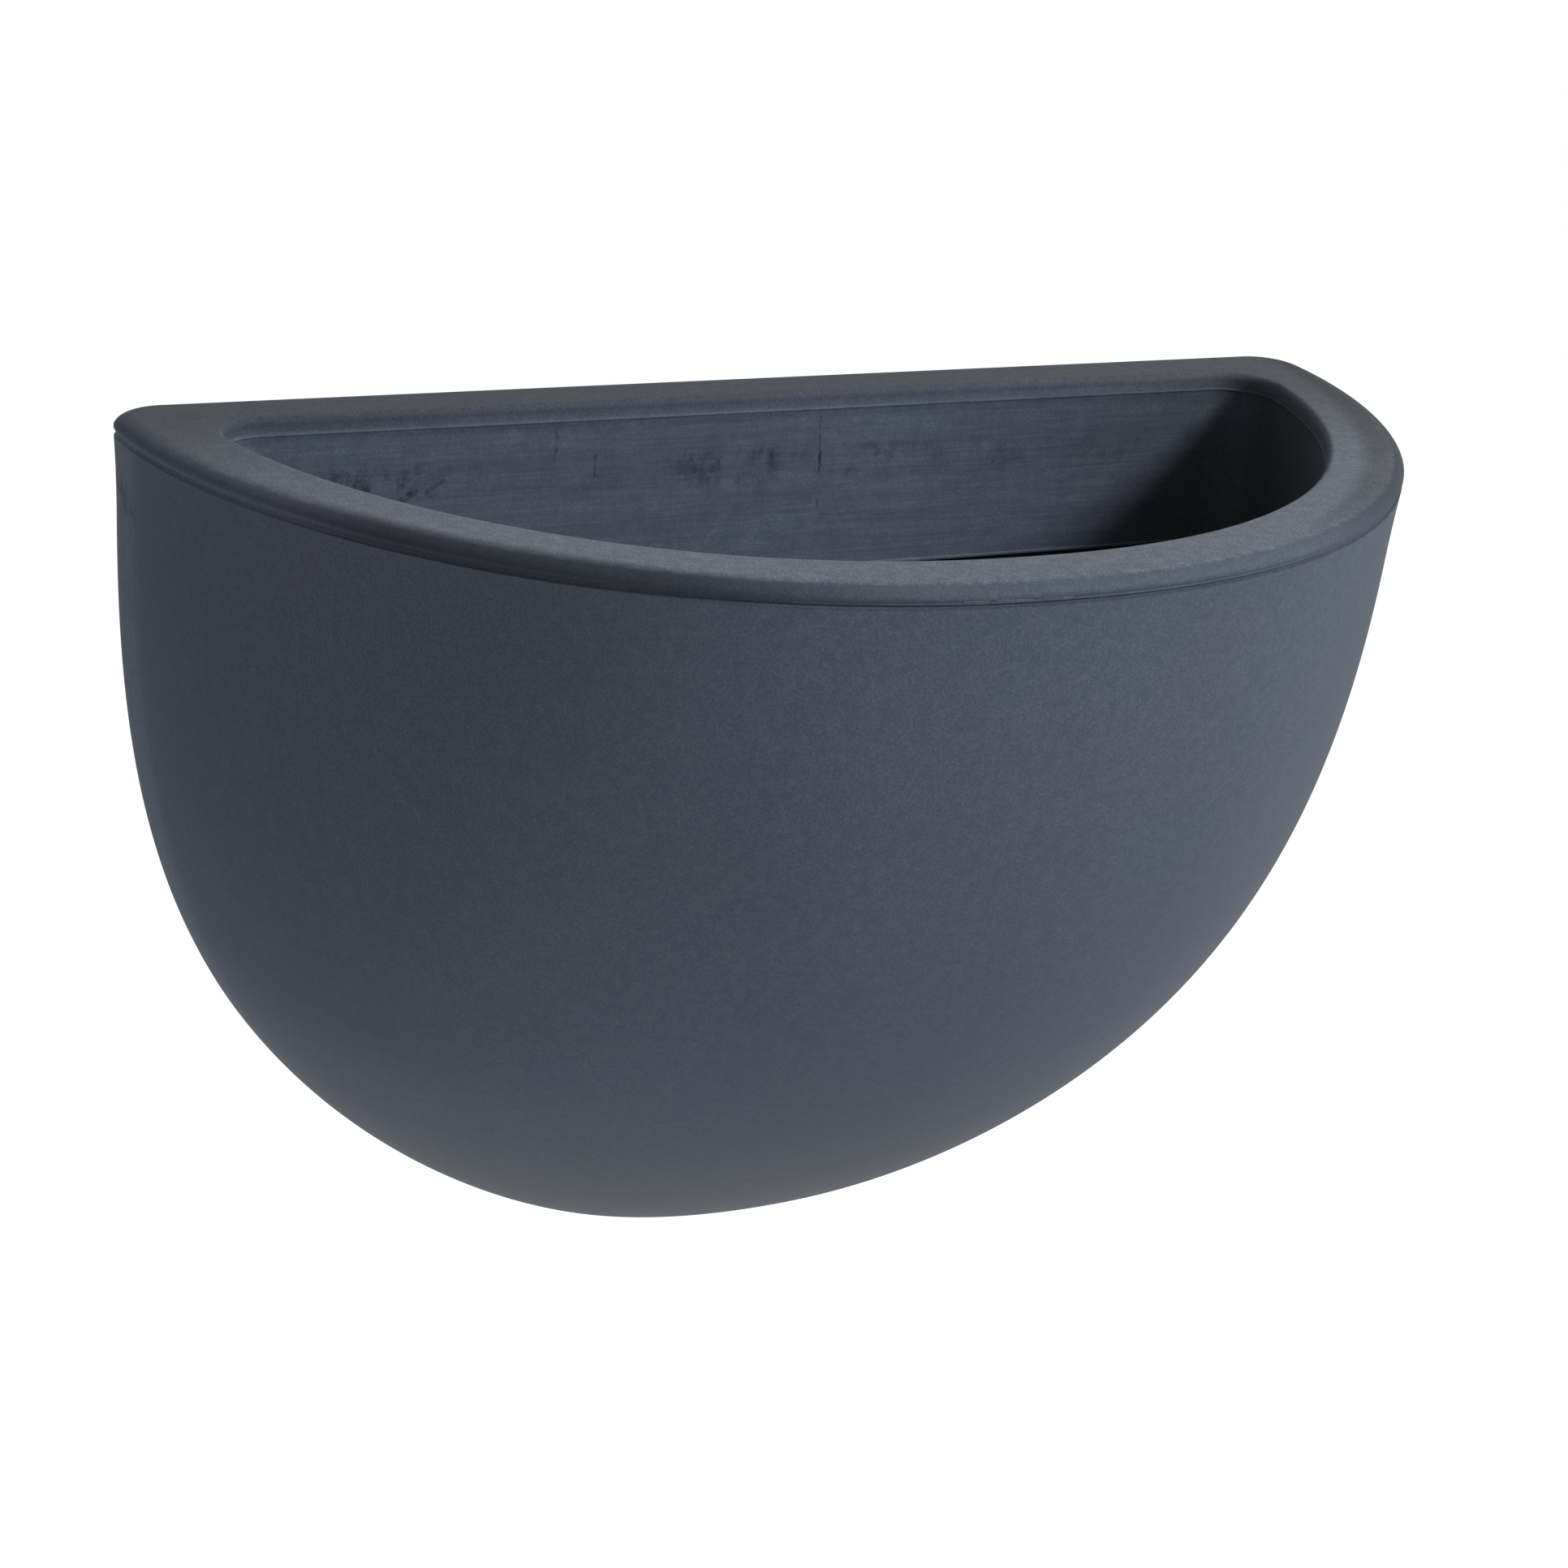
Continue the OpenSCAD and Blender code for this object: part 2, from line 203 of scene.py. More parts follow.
class HangingSettings(bpy.types.PropertyGroup):
    """Sizes of the recess, the keyholes, the studs and the rivets"""
    recess_width: length("Recess width", "Width of the recess in the back", 294)
    recess_top: length("Recess top", "Top of the recess over the wall screws", 17)
    recess_foot: length("Recess foot", "Foot of the recess under the wall screws", 31)
    recess_depth: length("Recess depth", "Depth of the recess", 8)
    recess_corner: length("Recess corner", "Rounding of the recess's corners", 3)
    recess_edge: length("Recess edge", "Rounding of the recess's rim and floor", 1.2)
    pitch: length("Stud pitch", "Distance between the studs", 160)
    slot_width: length("Slot width", "Width of the skin's slot beside a stud's head", 17)
    lift: length("Lift", "Travel that frees the studs", 14)
    shank: length("Shank", "Radius of a stud's shank", 4)
    head: length("Head", "Radius of a stud's head", 7)
    head_from: length("Head from", "Distance of a stud's head from the wall", 8.3)
    head_thickness: length("Head thickness", "Thickness of a stud's head", 3)
    tail: length("Tail", "Radius of a stud's tail in the rail", 3)
    rail_thickness: length("Rail thickness", "Thickness of the rail", 3)
    plate_thickness: length("Plate thickness", "Thickness of a keyhole plate", 2)
    plate_middle: length("Plate middle", "How far the plates' middle lies under the studs", 8.725)
    rivet_across: length("Rivets across", "Distance between rivets across a plate", 39)
    rivet_up: length("Rivets up", "Distance between rivets up a plate", 27)
    rivet: length("Rivet", "Radius of a rivet's shank", 2)
    rivet_head: length("Rivet head", "Radius of a rivet's head", 3.8)
    rivet_dome: length("Rivet dome", "Height of a rivet's head", 1.2)
    rivet_tail: length("Rivet tail", "Radius of the swelling behind the skin", 3.2)
    rivet_swell: length("Rivet swelling", "Length of the swelling behind the skin", 3)
    sheet_edge: length("Sheet edge", "Rounding of the edges of the steel parts", 0.35)


class DrainSettings(bpy.types.PropertyGroup):
    """Sizes of the drain and its plug"""
    out: length("Drain out", "Distance of the drain from the wall", 24)
    down: length("Drain down", "How far the drain lies under the wall screws", 299.239)
    tilt: turn("Drain tilt", "Lean of the drain's axis from upright", 12.8029)
    bore: length("Bore", "Radius of the drain hole", 8)
    seat: length("Seat", "Radius of the flat seat round the hole", 13.6)
    seat_depth: length("Seat depth", "Depth of the seat", 2)
    flange: length("Flange", "Radius of the plug's flange", 13)
    flange_thickness: length("Flange thickness", "Thickness of the plug's flange", 2)
    flange_round: length("Flange rounding", "Rounding of the flange's edge", 1)
    rib: length("Rib", "Radius of the plug's sealing ribs", 7.92)
    rib_height: length("Rib height", "Height of one sealing rib", 1)
    barrel: length("Barrel", "Radius of the plug's barrel", 7.4)
    barrel_length: length("Barrel length", "Length of the plug's barrel", 12)
    barrel_wall: length("Barrel wall", "Wall of the plug's barrel", 2)
    web: length("Web", "Rubber between the flange and the hollow barrel", 0.5)
    pry_width: length("Pry slot width", "Width of the slot across the flange", 3)
    pry_depth: length("Pry slot depth", "Depth of the slot across the flange", 1.2)


class FinishSettings(bpy.types.PropertyGroup):
    """Colours and surface of the materials"""
    slate: colour("Slate", "Colour of the moulded plastic", (0.081, 0.098, 0.134))
    slate_dark: colour("Dark slate", "Colour of the darker grains", (0.052, 0.063, 0.090))
    slate_pale: colour("Pale slate", "Colour of the paler grains", (0.136, 0.152, 0.182))
    cool: colour("Cool cast", "Tint of the cooler clouds in the plastic", (0.075, 0.098, 0.126))
    warm: colour("Warm cast", "Tint of the warmer clouds in the plastic", (0.085, 0.095, 0.134))
    # Partly dust, partly painted sheen and bounce light: a paler, less blue colour on the rim's
    # top, the right side and the foot
    dust: colour("Dust and painted sheen", "Colour of the dust on the rim's top and the foot", (0.088, 0.094, 0.094))
    roughness: share("Roughness", "Roughness of the plastic", 0.72)
    grain: length("Grain", "Size of one grain in the plastic", 0.9)
    grain_depth: length("Grain depth", "Height of the grain", 0.05)
    scuff: colour("Scuff", "Colour of the dark scuffs on the inner wall", (0.016, 0.019, 0.028))
    rub: colour("Rub", "Colour of the pale rubbed lines on the bead", (0.30, 0.34, 0.38))
    # Painted light on the rim's top at the front, and painted shade on it at the wall
    top_painted_light_front: number("Painted light, front", "Paleness of the rim's top at the front", 1.53, 0.5, 2)
    top_painted_shade_back: number("Painted shade, back", "Paleness of the rim's top at the wall", 0.75, 0.5, 2)
    zinc: colour("Zinc", "Colour of the galvanised steel", (0.56, 0.58, 0.60))
    rubber: colour("Rubber", "Colour of the plug", (0.030, 0.030, 0.033))


class StageSettings(bpy.types.PropertyGroup):
    """Camera, lamps and floor"""
    azimuth: turn("Azimuth", "Camera's place round the planter, from the front", -28.1025)
    elevation: turn("Elevation", "Camera's height angle", 20.9502)
    roll: turn("Roll", "Camera's lean", 4.9657)
    distance: length("Distance", "Camera's distance along its axis", 1411.2)
    shift_right: length("Right", "How far the camera stands to the right of its axis", 31.275)
    shift_up: length("Up", "How far the camera stands above its axis", 4.625)
    aim: length("Aim", "How far the camera's axis passes under the wall screws", 128)
    lens: number("Lens", "Focal length in millimetres on a 36 mm sensor", 80.166, 10, 300)
    floor_drop: length("Floor drop", "How far the floor lies under the wall screws", 1400)
    floor: colour("Floor", "Colour of the floor", (0.90, 0.90, 0.90))
    glow: share("Floor glow", "Light of the floor towards the camera", 0.75)
    sky: number("Sky", "Strength of the light from all round", 0.29)
    key: number("Key", "Power of the lamp at the front right, in watts", 57.0, 0, 1000)
    key_azimuth: turn("Key azimuth", "The key lamp's place round the planter", 50)
    key_elevation: turn("Key elevation", "The key lamp's height angle", 37)
    key_distance: length("Key distance", "The key lamp's distance from the planter", 2600)
    key_size: length("Key size", "Width of the key lamp", 600)
    fill: number("Fill", "Power of the low lamp at the front, in watts", 4.5, 0, 1000)
    fill_azimuth: turn("Fill azimuth", "The low lamp's place round the planter", -35)
    fill_elevation: turn("Fill elevation", "The low lamp's height angle", -35)
    fill_distance: length("Fill distance", "The low lamp's distance from the planter", 1600)
    fill_size: length("Fill size", "Width of the low lamp", 1200)


SETTINGS = {
    "planter_bowl": BowlSettings, "planter_rim": RimSettings, "planter_hanging": HangingSettings,
    "planter_drain": DrainSettings, "planter_finish": FinishSettings,
    "planter_stage": StageSettings,
}


# Nodes written as sums

class Wire:
    """A node's output that is worked with like a number; each step adds its Math node."""

    def __init__(self, tree, socket=None):
        self.tree = tree
        self.socket = socket

    def node(self, kind, settings=None, values=None, take=0):
        """Adds a node of this kind: its settings first, then its sockets' values or links."""
        made = self.tree.nodes.new(kind)
        for name, value in (settings or {}).items():
            setattr(made, name, value)
        for name, value in (values or {}).items():
            for each in value if isinstance(value, list) else [value]:
                if isinstance(each, Wire):
                    self.tree.links.new(each.socket, made.inputs[name])
                else:
                    made.inputs[name].default_value = each
        return Wire(self.tree, made.outputs[take])

    def other(self, name):
        """Another output of the same node."""
        return Wire(self.tree, self.socket.node.outputs[name])

    def math(self, operation, *terms):
        return self.node("ShaderNodeMath", {"operation": operation}, dict(enumerate(terms)))

    def __add__(self, term):
        return self.math("ADD", self, term)

    __radd__ = __add__

    def __sub__(self, term):
        return self.math("SUBTRACT", self, term)

    def __rsub__(self, term):
        return self.math("SUBTRACT", term, self)

    def __mul__(self, term):
        return self.math("MULTIPLY", self, term)

    __rmul__ = __mul__

    def __truediv__(self, term):
        return self.math("DIVIDE", self, term)

    def __rtruediv__(self, term):
        return self.math("DIVIDE", term, self)

    def __pow__(self, term):
        return self.math("POWER", self, term)

    def __rpow__(self, term):
        return self.math("POWER", term, self)

    def __gt__(self, term):
        return self.math("GREATER_THAN", self, term)

    def cos(self):
        return self.math("COSINE", self)

    def sin(self):
        return self.math("SINE", self)

    def least(self, term):
        return self.math("MINIMUM", self, term)

    def greatest(self, term):
        return self.math("MAXIMUM", self, term)

    def size(self):
        return self.math("ABSOLUTE", self)

    def clamp(self, low=0.0, high=1.0):
        return self.node("ShaderNodeClamp", None, {"Value": self, "Min": low, "Max": high})

    def ramp(self, start, end, low=0.0, high=1.0):
        """Runs smoothly from low at start to high at end."""
        return self.node("ShaderNodeMapRange", {"interpolation_type": "SMOOTHSTEP"}, {
            "Value": self, "From Min": start, "From Max": end, "To Min": low, "To Max": high})

    def blend(self, a, b):
        """From a to b as this goes from 0 to 1."""
        return a + self * (b - a)

    def times(self, shade):
        """The colour, made this many times as bright."""
        return self.node("ShaderNodeVectorMath", {"operation": "SCALE"}, {
            0: shade, "Scale": self})

    def tint(self, a, b):
        """From the colour a to the colour b as this goes from 0 to 1."""
        return self.node("ShaderNodeMix", {"data_type": "RGBA"}, {
            0: self, 6: opaque(a), 7: opaque(b)}, take=2)


def opaque(shade):
    return shade if isinstance(shade, Wire) else (*shade, 1.0)


SOCKETS = {
    "number": "NodeSocketFloat", "count": "NodeSocketInt", "vector": "NodeSocketVector",
    "mesh": "NodeSocketGeometry", "material": "NodeSocketMaterial",
}


class Recipe:
    """A Geometry Nodes tree with named inputs and one output."""

    def __init__(self, name, inputs, output="mesh"):
        self.tree = bpy.data.node_groups.new(name, "GeometryNodeTree")
        self.inputs = {}
        for label, (kind, default) in inputs.items():
            socket = self.tree.interface.new_socket(
                label, in_out="INPUT", socket_type=SOCKETS[kind])
            if default is not None:
                socket.default_value = default
            self.inputs[label] = socket
        self.tree.interface.new_socket("Result", in_out="OUTPUT", socket_type=SOCKETS[output])
        self.start = self.tree.nodes.new("NodeGroupInput")
        self.wire = Wire(self.tree)

    def __getitem__(self, label):
        return Wire(self.tree, self.start.outputs[label])

    def node(self, *words, **more):
        return self.wire.node(*words, **more)

    def end(self, result):
        group_end = self.tree.nodes.new("NodeGroupOutput")
        self.tree.links.new(result.socket, group_end.inputs[0])
        return self

    def use(self, wire, values):
        """This tree as one node of another tree."""
        return wire.node("GeometryNodeGroup", {"node_tree": self.tree}, values)

    def vector(self, x, y, z):
        return self.node("ShaderNodeCombineXYZ", None, {0: x, 1: y, 2: z})

    def grid(self, around, rows, place):
        """A sheet of that many steps each way, with each of its points moved to place."""
        sheet = self.node("GeometryNodeMeshGrid", None, {
            "Size X": 1.0, "Size Y": 1.0, "Vertices X": around + 1, "Vertices Y": rows + 1})
        return self.node("GeometryNodeSetPosition", None, {"Geometry": sheet, "Position": place})

    def across_up(self):
        """How far a sheet's point lies across and up it, from 0 to 1."""
        place = self.node("GeometryNodeInputPosition")
        parts = self.node("ShaderNodeSeparateXYZ", None, {0: place})
        return parts + 0.5, parts.other("Y") + 0.5

    def joined(self, *parts):
        return self.node("GeometryNodeJoinGeometry", None, {0: list(reversed(parts))})

    def welded(self, *parts):
        return self.node("GeometryNodeMergeByDistance", None, {
            "Geometry": self.joined(*parts), "Distance": WELD})

    def cylinder(self, around, radius, depth):
        return self.node("GeometryNodeMeshCylinder", None, {
            "Vertices": around, "Radius": radius, "Depth": depth})

    def cube(self, x, y, z):
        return self.node("GeometryNodeMeshCube", None, {"Size": self.vector(x, y, z)})

    def carve(self, mesh, *cutters):
        for cutter in cutters:
            mesh = self.node("GeometryNodeMeshBoolean", {
                "operation": "DIFFERENCE", "solver": "EXACT"}, {"Mesh 1": mesh, "Mesh 2": cutter})
        return mesh

    def moved(self, mesh, shift=(0, 0, 0), angles=(0, 0, 0)):
        return self.node("GeometryNodeTransform", None, {
            "Geometry": mesh, "Translation": shift, "Rotation": angles})

    def copies(self, mesh, points):
        """The mesh on each of the points, as real copies."""
        placed = self.node("GeometryNodeInstanceOnPoints", None, {
            "Points": points, "Instance": mesh})
        return self.node("GeometryNodeRealizeInstances", None, {"Geometry": placed})

    def finished(self, mesh):
        """The end of a piece's tree: real copies only, and its material."""
        real = self.node("GeometryNodeRealizeInstances", None, {"Geometry": mesh})
        return self.end(self.node("GeometryNodeSetMaterial", None, {
            "Geometry": real, "Material": self["Material"]}))


def baked(name, recipe, values):
    """A new object that holds what the recipe makes of these values, as a plain mesh."""
    piece = bpy.data.objects.new(name, bpy.data.meshes.new(name))
    bpy.context.scene.collection.objects.link(piece)
    live = piece.modifiers.new("recipe", "NODES")
    live.node_group = recipe.tree
    for label, value in values.items():
        live[recipe.inputs[label].identifier] = value
    depsgraph = bpy.context.evaluated_depsgraph_get()
    depsgraph.update()
    mesh = bpy.data.meshes.new_from_object(
        piece.evaluated_get(depsgraph), preserve_all_data_layers=True, depsgraph=depsgraph)
    piece.modifiers.clear()
    mesh.name = name
    piece.data = mesh
    smooth(mesh)
    return piece


def smooth(mesh):
    mesh.shade_smooth()
    mesh.set_sharp_from_angle(angle=SMOOTH_UNDER)


def turned(r, bands):
    """A body of revolution about Z. Each band gives its rows, radius and height along it."""
    across, up = r.across_up()
    angle = across * (2 * HALF_TURN)
    return r.welded(*[
        r.grid(r["Steps"], rows, r.vector(angle.cos() * radius, angle.sin() * radius, height))
        for rows, radius, height in bands(up)])


# The bowl

def plan_outline():
    """Places a point on one section: flat back, rounded corner, then the plan curve."""
    r = Recipe("Plan outline", {
        "Along": ("number", 0.0), "Side": ("number", 1.0), "Height": ("number", 0.0),
        "Core width": ("number", 1.0), "Core depth": ("number", 1.0),
        "Core corner": ("number", 0.0), "Reach": ("number", 0.0), "Fillet": ("number", 0.0),
        "Start angle": ("number", 0.0), "Plan across": ("number", 2.0),
        "Plan along": ("number", 2.0), "Corner starts": ("number", 0.1),
        "Curve starts": ("number", 0.2)}, output="vector")
    wide, deep, corner = r["Core width"], r["Core depth"], r["Core corner"]
    across, along = r["Plan across"], r["Plan along"]

    def on_curve(angle, reach):
        c, s = angle.cos(), angle.sin()
        nx = across / wide * c ** (2 - 2 / across)
        ny = along / deep * s ** (2 - 2 / along)
        norm = (nx * nx + ny * ny) ** 0.5
        return (wide * c ** (2 / across) + reach * nx / norm,
                corner + deep * s ** (2 / along) + reach * ny / norm, nx, ny)

    place, first, last = r["Along"], r["Corner starts"], r["Curve starts"]
    start, fillet = r["Start angle"], r["Fillet"]
    middle_x, middle_y, nx, ny = on_curve(start, r["Reach"] - fillet)
    flat = (place / first).clamp()
    turned_by = ((place - first) / (last - first)).clamp()
    facing = r.wire.math("ARCTAN2", ny, nx)
    angle = turned_by * (facing + QUARTER_TURN) - QUARTER_TURN
    corner_x = middle_x * flat + fillet * angle.cos()
    corner_y = middle_y + fillet * angle.sin()
    run = ((place - last) / (1 - last)).clamp()
    curve_x, curve_y, _, _ = on_curve(start + run * (QUARTER_TURN - start), r["Reach"])
    beyond = place > last
    x = beyond.blend(corner_x, curve_x) * r["Side"]
    y = beyond.blend(corner_y, curve_y) * -1
    return r.end(r.vector(x, y, r["Height"]))


def rounded_cutter():
    """A cutting block behind the plane y = 0: a rounded rectangle with a flared mouth."""
    r = Recipe("Rounded cutter", {
        "Width": ("number", 0.1), "Height": ("number", 0.05), "Corner": ("number", 0.003),
        "Depth": ("number", 0.01), "Edge": ("number", 0.001), "Floor edge": ("number", 0.001),
        "Corner steps": ("count", 8), "Past": ("number", PAST)})
    across, up = r.across_up()
    per = r["Corner steps"] + 1
    index = r.wire.math("ROUND", across * (per * 4))
    corner = r.wire.math("FLOOR", (index + 0.5) / per)
    local = (index - corner * per) / r["Corner steps"]
    angle = (corner + local) * QUARTER_TURN
    middle = (corner + 0.5) * QUARTER_TURN

    def outline(grow, depth, open_by=1.0):
        radius = r["Corner"] + grow
        x = (r["Width"] / 2 - r["Corner"]) * r.wire.math("SIGN", middle.cos()) \
            + angle.cos() * radius
        z = (r["Height"] / 2 - r["Corner"]) * r.wire.math("SIGN", middle.sin()) \
            + angle.sin() * radius
        return r.vector(x * open_by, depth * -1, z * open_by)

    edge, floor_edge, depth = r["Edge"], r["Floor edge"], r["Depth"]
    sweep = up * QUARTER_TURN
    sheets = [
        (1, outline(edge, r["Past"] * -1, up)),
        (1, outline(edge, r["Past"] * (up - 1))),
        (EDGE_ROWS, outline(edge * (1 - sweep.sin()), edge * (1 - sweep.cos()))),
        (1, outline(0.0, up.blend(edge, depth - floor_edge))),
        (EDGE_ROWS, outline(floor_edge * (sweep.cos() - 1),
                            depth - floor_edge * (1 - sweep.sin()))),
        (1, outline(floor_edge * -1, depth, 1 - up)),
    ]
    return r.end(r.welded(*[r.grid(per * 4, rows, place) for rows, place in sheets]))


# The inputs of each tree, with the names of the settings that fill them
BOWL_INPUTS = {
    "Width": "width", "Depth": "depth", "Height": "height", "Skin": "skin", "Corner": "corner",
    "Plan across": "across", "Plan along": "along", "Side power": "side_power",
    "Side taper": "side_taper", "Front power": "front_power", "Front taper": "front_taper",
}
RIM_INPUTS = {
    "Rim height": "top", "Rim width": "width", "Bead out": "bead_out",
    "Bead height": "bead_height", "Bead roll": "bead_roll", "Groove height": "groove_height",
    "Groove depth": "groove_depth", "Line height": "line_height", "Line depth": "line_depth",
    "Flare": "flare", "Flare height": "flare_height",
    "Outer rounding": "outer_round", "Outer drop": "outer_drop", "Back rounding": "back_round",
    "Lip rounding": "lip_round", "Lip drop": "lip_drop", "Ridge from": "ridge_from",
    "Ridge height": "ridge_height", "Ridge out": "ridge_out",
    "Skirt": "skirt", "Skirt step": "skirt_step", "Skirt foot": "skirt_foot",
    "Skirt edge": "skirt_edge", "Hem": "hem", "Back width": "back_width",
    "Mouth corner": "mouth_corner",
}
BACK_INPUTS = {
    "Recess width": "recess_width", "Recess top": "recess_top", "Recess foot": "recess_foot",
    "Recess depth": "recess_depth", "Recess corner": "recess_corner",
    "Recess edge": "recess_edge", "Stud pitch": "pitch", "Slot width": "slot_width",
    "Lift": "lift", "Rivet": "rivet", "Rivets across": "rivet_across",
    "Rivets up": "rivet_up", "Plate middle": "plate_middle",
}
DRAIN_INPUTS = {
    "Drain out": "out", "Drain down": "down", "Drain tilt": "tilt", "Bore": "bore",
    "Seat": "seat", "Seat depth": "seat_depth",
}
COUNT_INPUTS = {
    "Back steps": "back_steps", "Corner steps": "corner_steps", "Curve steps": "curve_steps",
    "Outside rings": "outside_rings", "Inside rings": "inside_rings",
}
RIVET_INPUTS = {
    "Stud pitch": "pitch", "Rivets across": "rivet_across", "Rivets up": "rivet_up",
    "Plate middle": "plate_middle", "Shank": "rivet", "Head": "rivet_head",
    "Dome": "rivet_dome", "Tail": "rivet_tail", "Swelling": "rivet_swell",
    "Recess depth": "recess_depth", "Plate thickness": "plate_thickness",
}
STUD_INPUTS = {
    "Stud pitch": "pitch", "Shank": "shank", "Head": "head", "Tail": "tail",
    "Head from": "head_from", "Head thickness": "head_thickness",
    "Rail thickness": "rail_thickness", "Edge": "sheet_edge",
}
PLUG_INPUTS = {
    "Drain out": "out", "Drain down": "down", "Drain tilt": "tilt", "Seat depth": "seat_depth",
    "Flange": "flange", "Flange thickness": "flange_thickness",
    "Flange rounding": "flange_round", "Rib": "rib", "Rib height": "rib_height",
    "Barrel": "barrel", "Barrel length": "barrel_length", "Barrel wall": "barrel_wall",
    "Web": "web", "Pry slot width": "pry_width", "Pry slot depth": "pry_depth",
}


def asked(settings, names):
    """The settings' values under the names of a tree's inputs."""
    return {label: getattr(settings, key) for label, key in names.items()}


def numbers(*tables):
    """Number inputs with these tables' names."""
    return {label: ("number", 0.0) for table in tables for label in table}


def turned_recipe(name, around, *tables):
    """An empty tree for a body of revolution, with that many steps round its axis."""
    return Recipe(name, {**numbers(*tables), "Steps": ("count", around),
                         "Material": ("material", None)})


def stud_points(r):
    """One point for each stud, at the wall."""
    return r.node("GeometryNodeMeshLine", {"mode": "OFFSET"}, {
        "Count": 2, "Start Location": r.vector(r["Stud pitch"] / -2, 0.0, 0.0),
        "Offset": r.vector(r["Stud pitch"], 0.0, 0.0)})


def rivet_points(r):
    """One point for each rivet, at the wall: four to a plate."""
    corners = r.node("GeometryNodeMeshGrid", None, {
        "Size X": r["Rivets across"], "Size Y": r["Rivets up"], "Vertices X": 2, "Vertices Y": 2})
    plate = r.moved(corners, r.vector(0.0, 0.0, r["Plate middle"] * -1), UPRIGHT)
    return r.copies(plate, stud_points(r))


def at_drain(r, mesh):
    """Brings what is made round Z at the origin to the drain, square to the skin there."""
    return r.moved(mesh, r.vector(0.0, r["Drain out"] * -1, r["Drain down"] * -1),
                   r.vector(r["Drain tilt"] * -1, 0.0, 0.0))


class Sections:
    """The moulding's sections, each a closed line at one height, and what runs through them."""

    def __init__(self, r):
        self.r, self.outline = r, plan_outline()
        self.across, self.up = r.across_up()
        self.half_count = r["Back steps"] + r["Corner steps"] + r["Curve steps"]
        self.along = 1 - (self.across * 2 - 1).size()
        self.curve_starts = (r["Back steps"] + r["Corner steps"]) / self.half_count
        self.fixed = {
            "Along": self.along, "Side": r.wire.math("SIGN", self.across - 0.5),
            "Plan across": r["Plan across"], "Plan along": r["Plan along"],
            "Corner starts": r["Back steps"] / self.half_count,
            "Curve starts": self.curve_starts}

    def ring(self, height, wide, deep, corner, reach, fillet, start=0.0):
        return self.outline.use(self.r.wire, {
            **self.fixed, "Height": height, "Core width": wide, "Core depth": deep,
            "Core corner": corner, "Reach": reach, "Fillet": fillet, "Start angle": start})

    def bowl_size(self, u, inset):
        """Half width, depth and level at the share u of the height, moved in by inset."""
        r = self.r
        wide = (r["Width"] / 2 - inset) * (1 - r["Side taper"] * u ** SIDE_LATE) \
            * (1 - u ** r["Side power"]) ** 0.5
        deep = (r["Depth"] - inset) * (1 - r["Front taper"] * u ** FRONT_EARLY) \
            * (1 - u ** r["Front power"]) ** 0.5 - inset
        return wide, deep, r["Rim height"] - (r["Height"] - inset) * u

    def bowl(self, u, inset=0.0, flare=0.0):
        """The bowl's section at the share u of the height, moved in by inset or out by flare."""
        wide, deep, level = self.bowl_size(u, inset)
        corner = (self.r["Corner"] - inset).least(wide * CORNER_SHARE).least(deep * CORNER_SHARE)
        return self.ring(level, wide - corner, deep - corner * 2, corner + inset, corner + flare,
                         corner)

    def tip(self, u, inset=0.0):
        """The point in the middle of such a section."""
        _, deep, level = self.bowl_size(u, inset)
        return self.r.vector(0.0, (deep / 2 + inset) * -1, level)

    def rim(self, depth, reach, fillet, start=0.0):
        """A section of the rim, whose sides follow the bowl's top at the distance of reach."""
        r, corner = self.r, self.r["Corner"]
        return self.ring(r["Rim height"] - depth, r["Width"] / 2 - corner,
                         r["Depth"] - corner * 2, corner, corner + reach, fillet, start)

    def outer(self, depth, grow, back=0.0):
        """A section of the rim's outside, which keeps the bowl's own corners."""
        return self.rim(depth, grow, self.r["Corner"] - back)

    def mouth(self, depth, grow):
        """A section round the opening, moved out from its edge by grow."""
        r = self.r
        return self.rim(depth, grow - (r["Rim width"] - r["Bead out"]),
                        r["Mouth corner"] + grow, r["Mouth angle"])

    def between(self, start, end):
        """From one section to another."""
        return self.r.node("ShaderNodeMix", {"data_type": "VECTOR"}, {
            0: self.up, 4: start, 5: end}, take=1)

    def packed(self, first, last):
        """Shares of the height, packed more closely where the bowl turns in."""
        low, high = (self.r.wire.math("ARCSINE", each) for each in (first, last))
        return self.up.blend(low, high).sin()


# The sheets of the skin, in order round it: how many rows each has, and where its points go

def outside_bands(s):
    """From the bowl's tip up its outside to the groove."""
    r, up = s.r, s.up
    flare_top = r["Bead height"] + r["Groove height"]
    flare_foot = (flare_top + r["Flare height"]) / r["Height"]
    return [
        (1, s.between(s.tip(LAST_OUTSIDE), s.bowl(LAST_OUTSIDE))),
        (r["Outside rings"], s.bowl(s.packed(LAST_OUTSIDE, flare_foot))),
        (14, s.bowl((flare_top + r["Flare height"] * (1 - up)) / r["Height"], 0.0,
                    r["Flare"] * up * up)),
        (1, s.between(s.bowl(flare_top / r["Height"], 0.0, r["Flare"]),
                      s.outer(flare_top, r["Flare"]))),
    ]


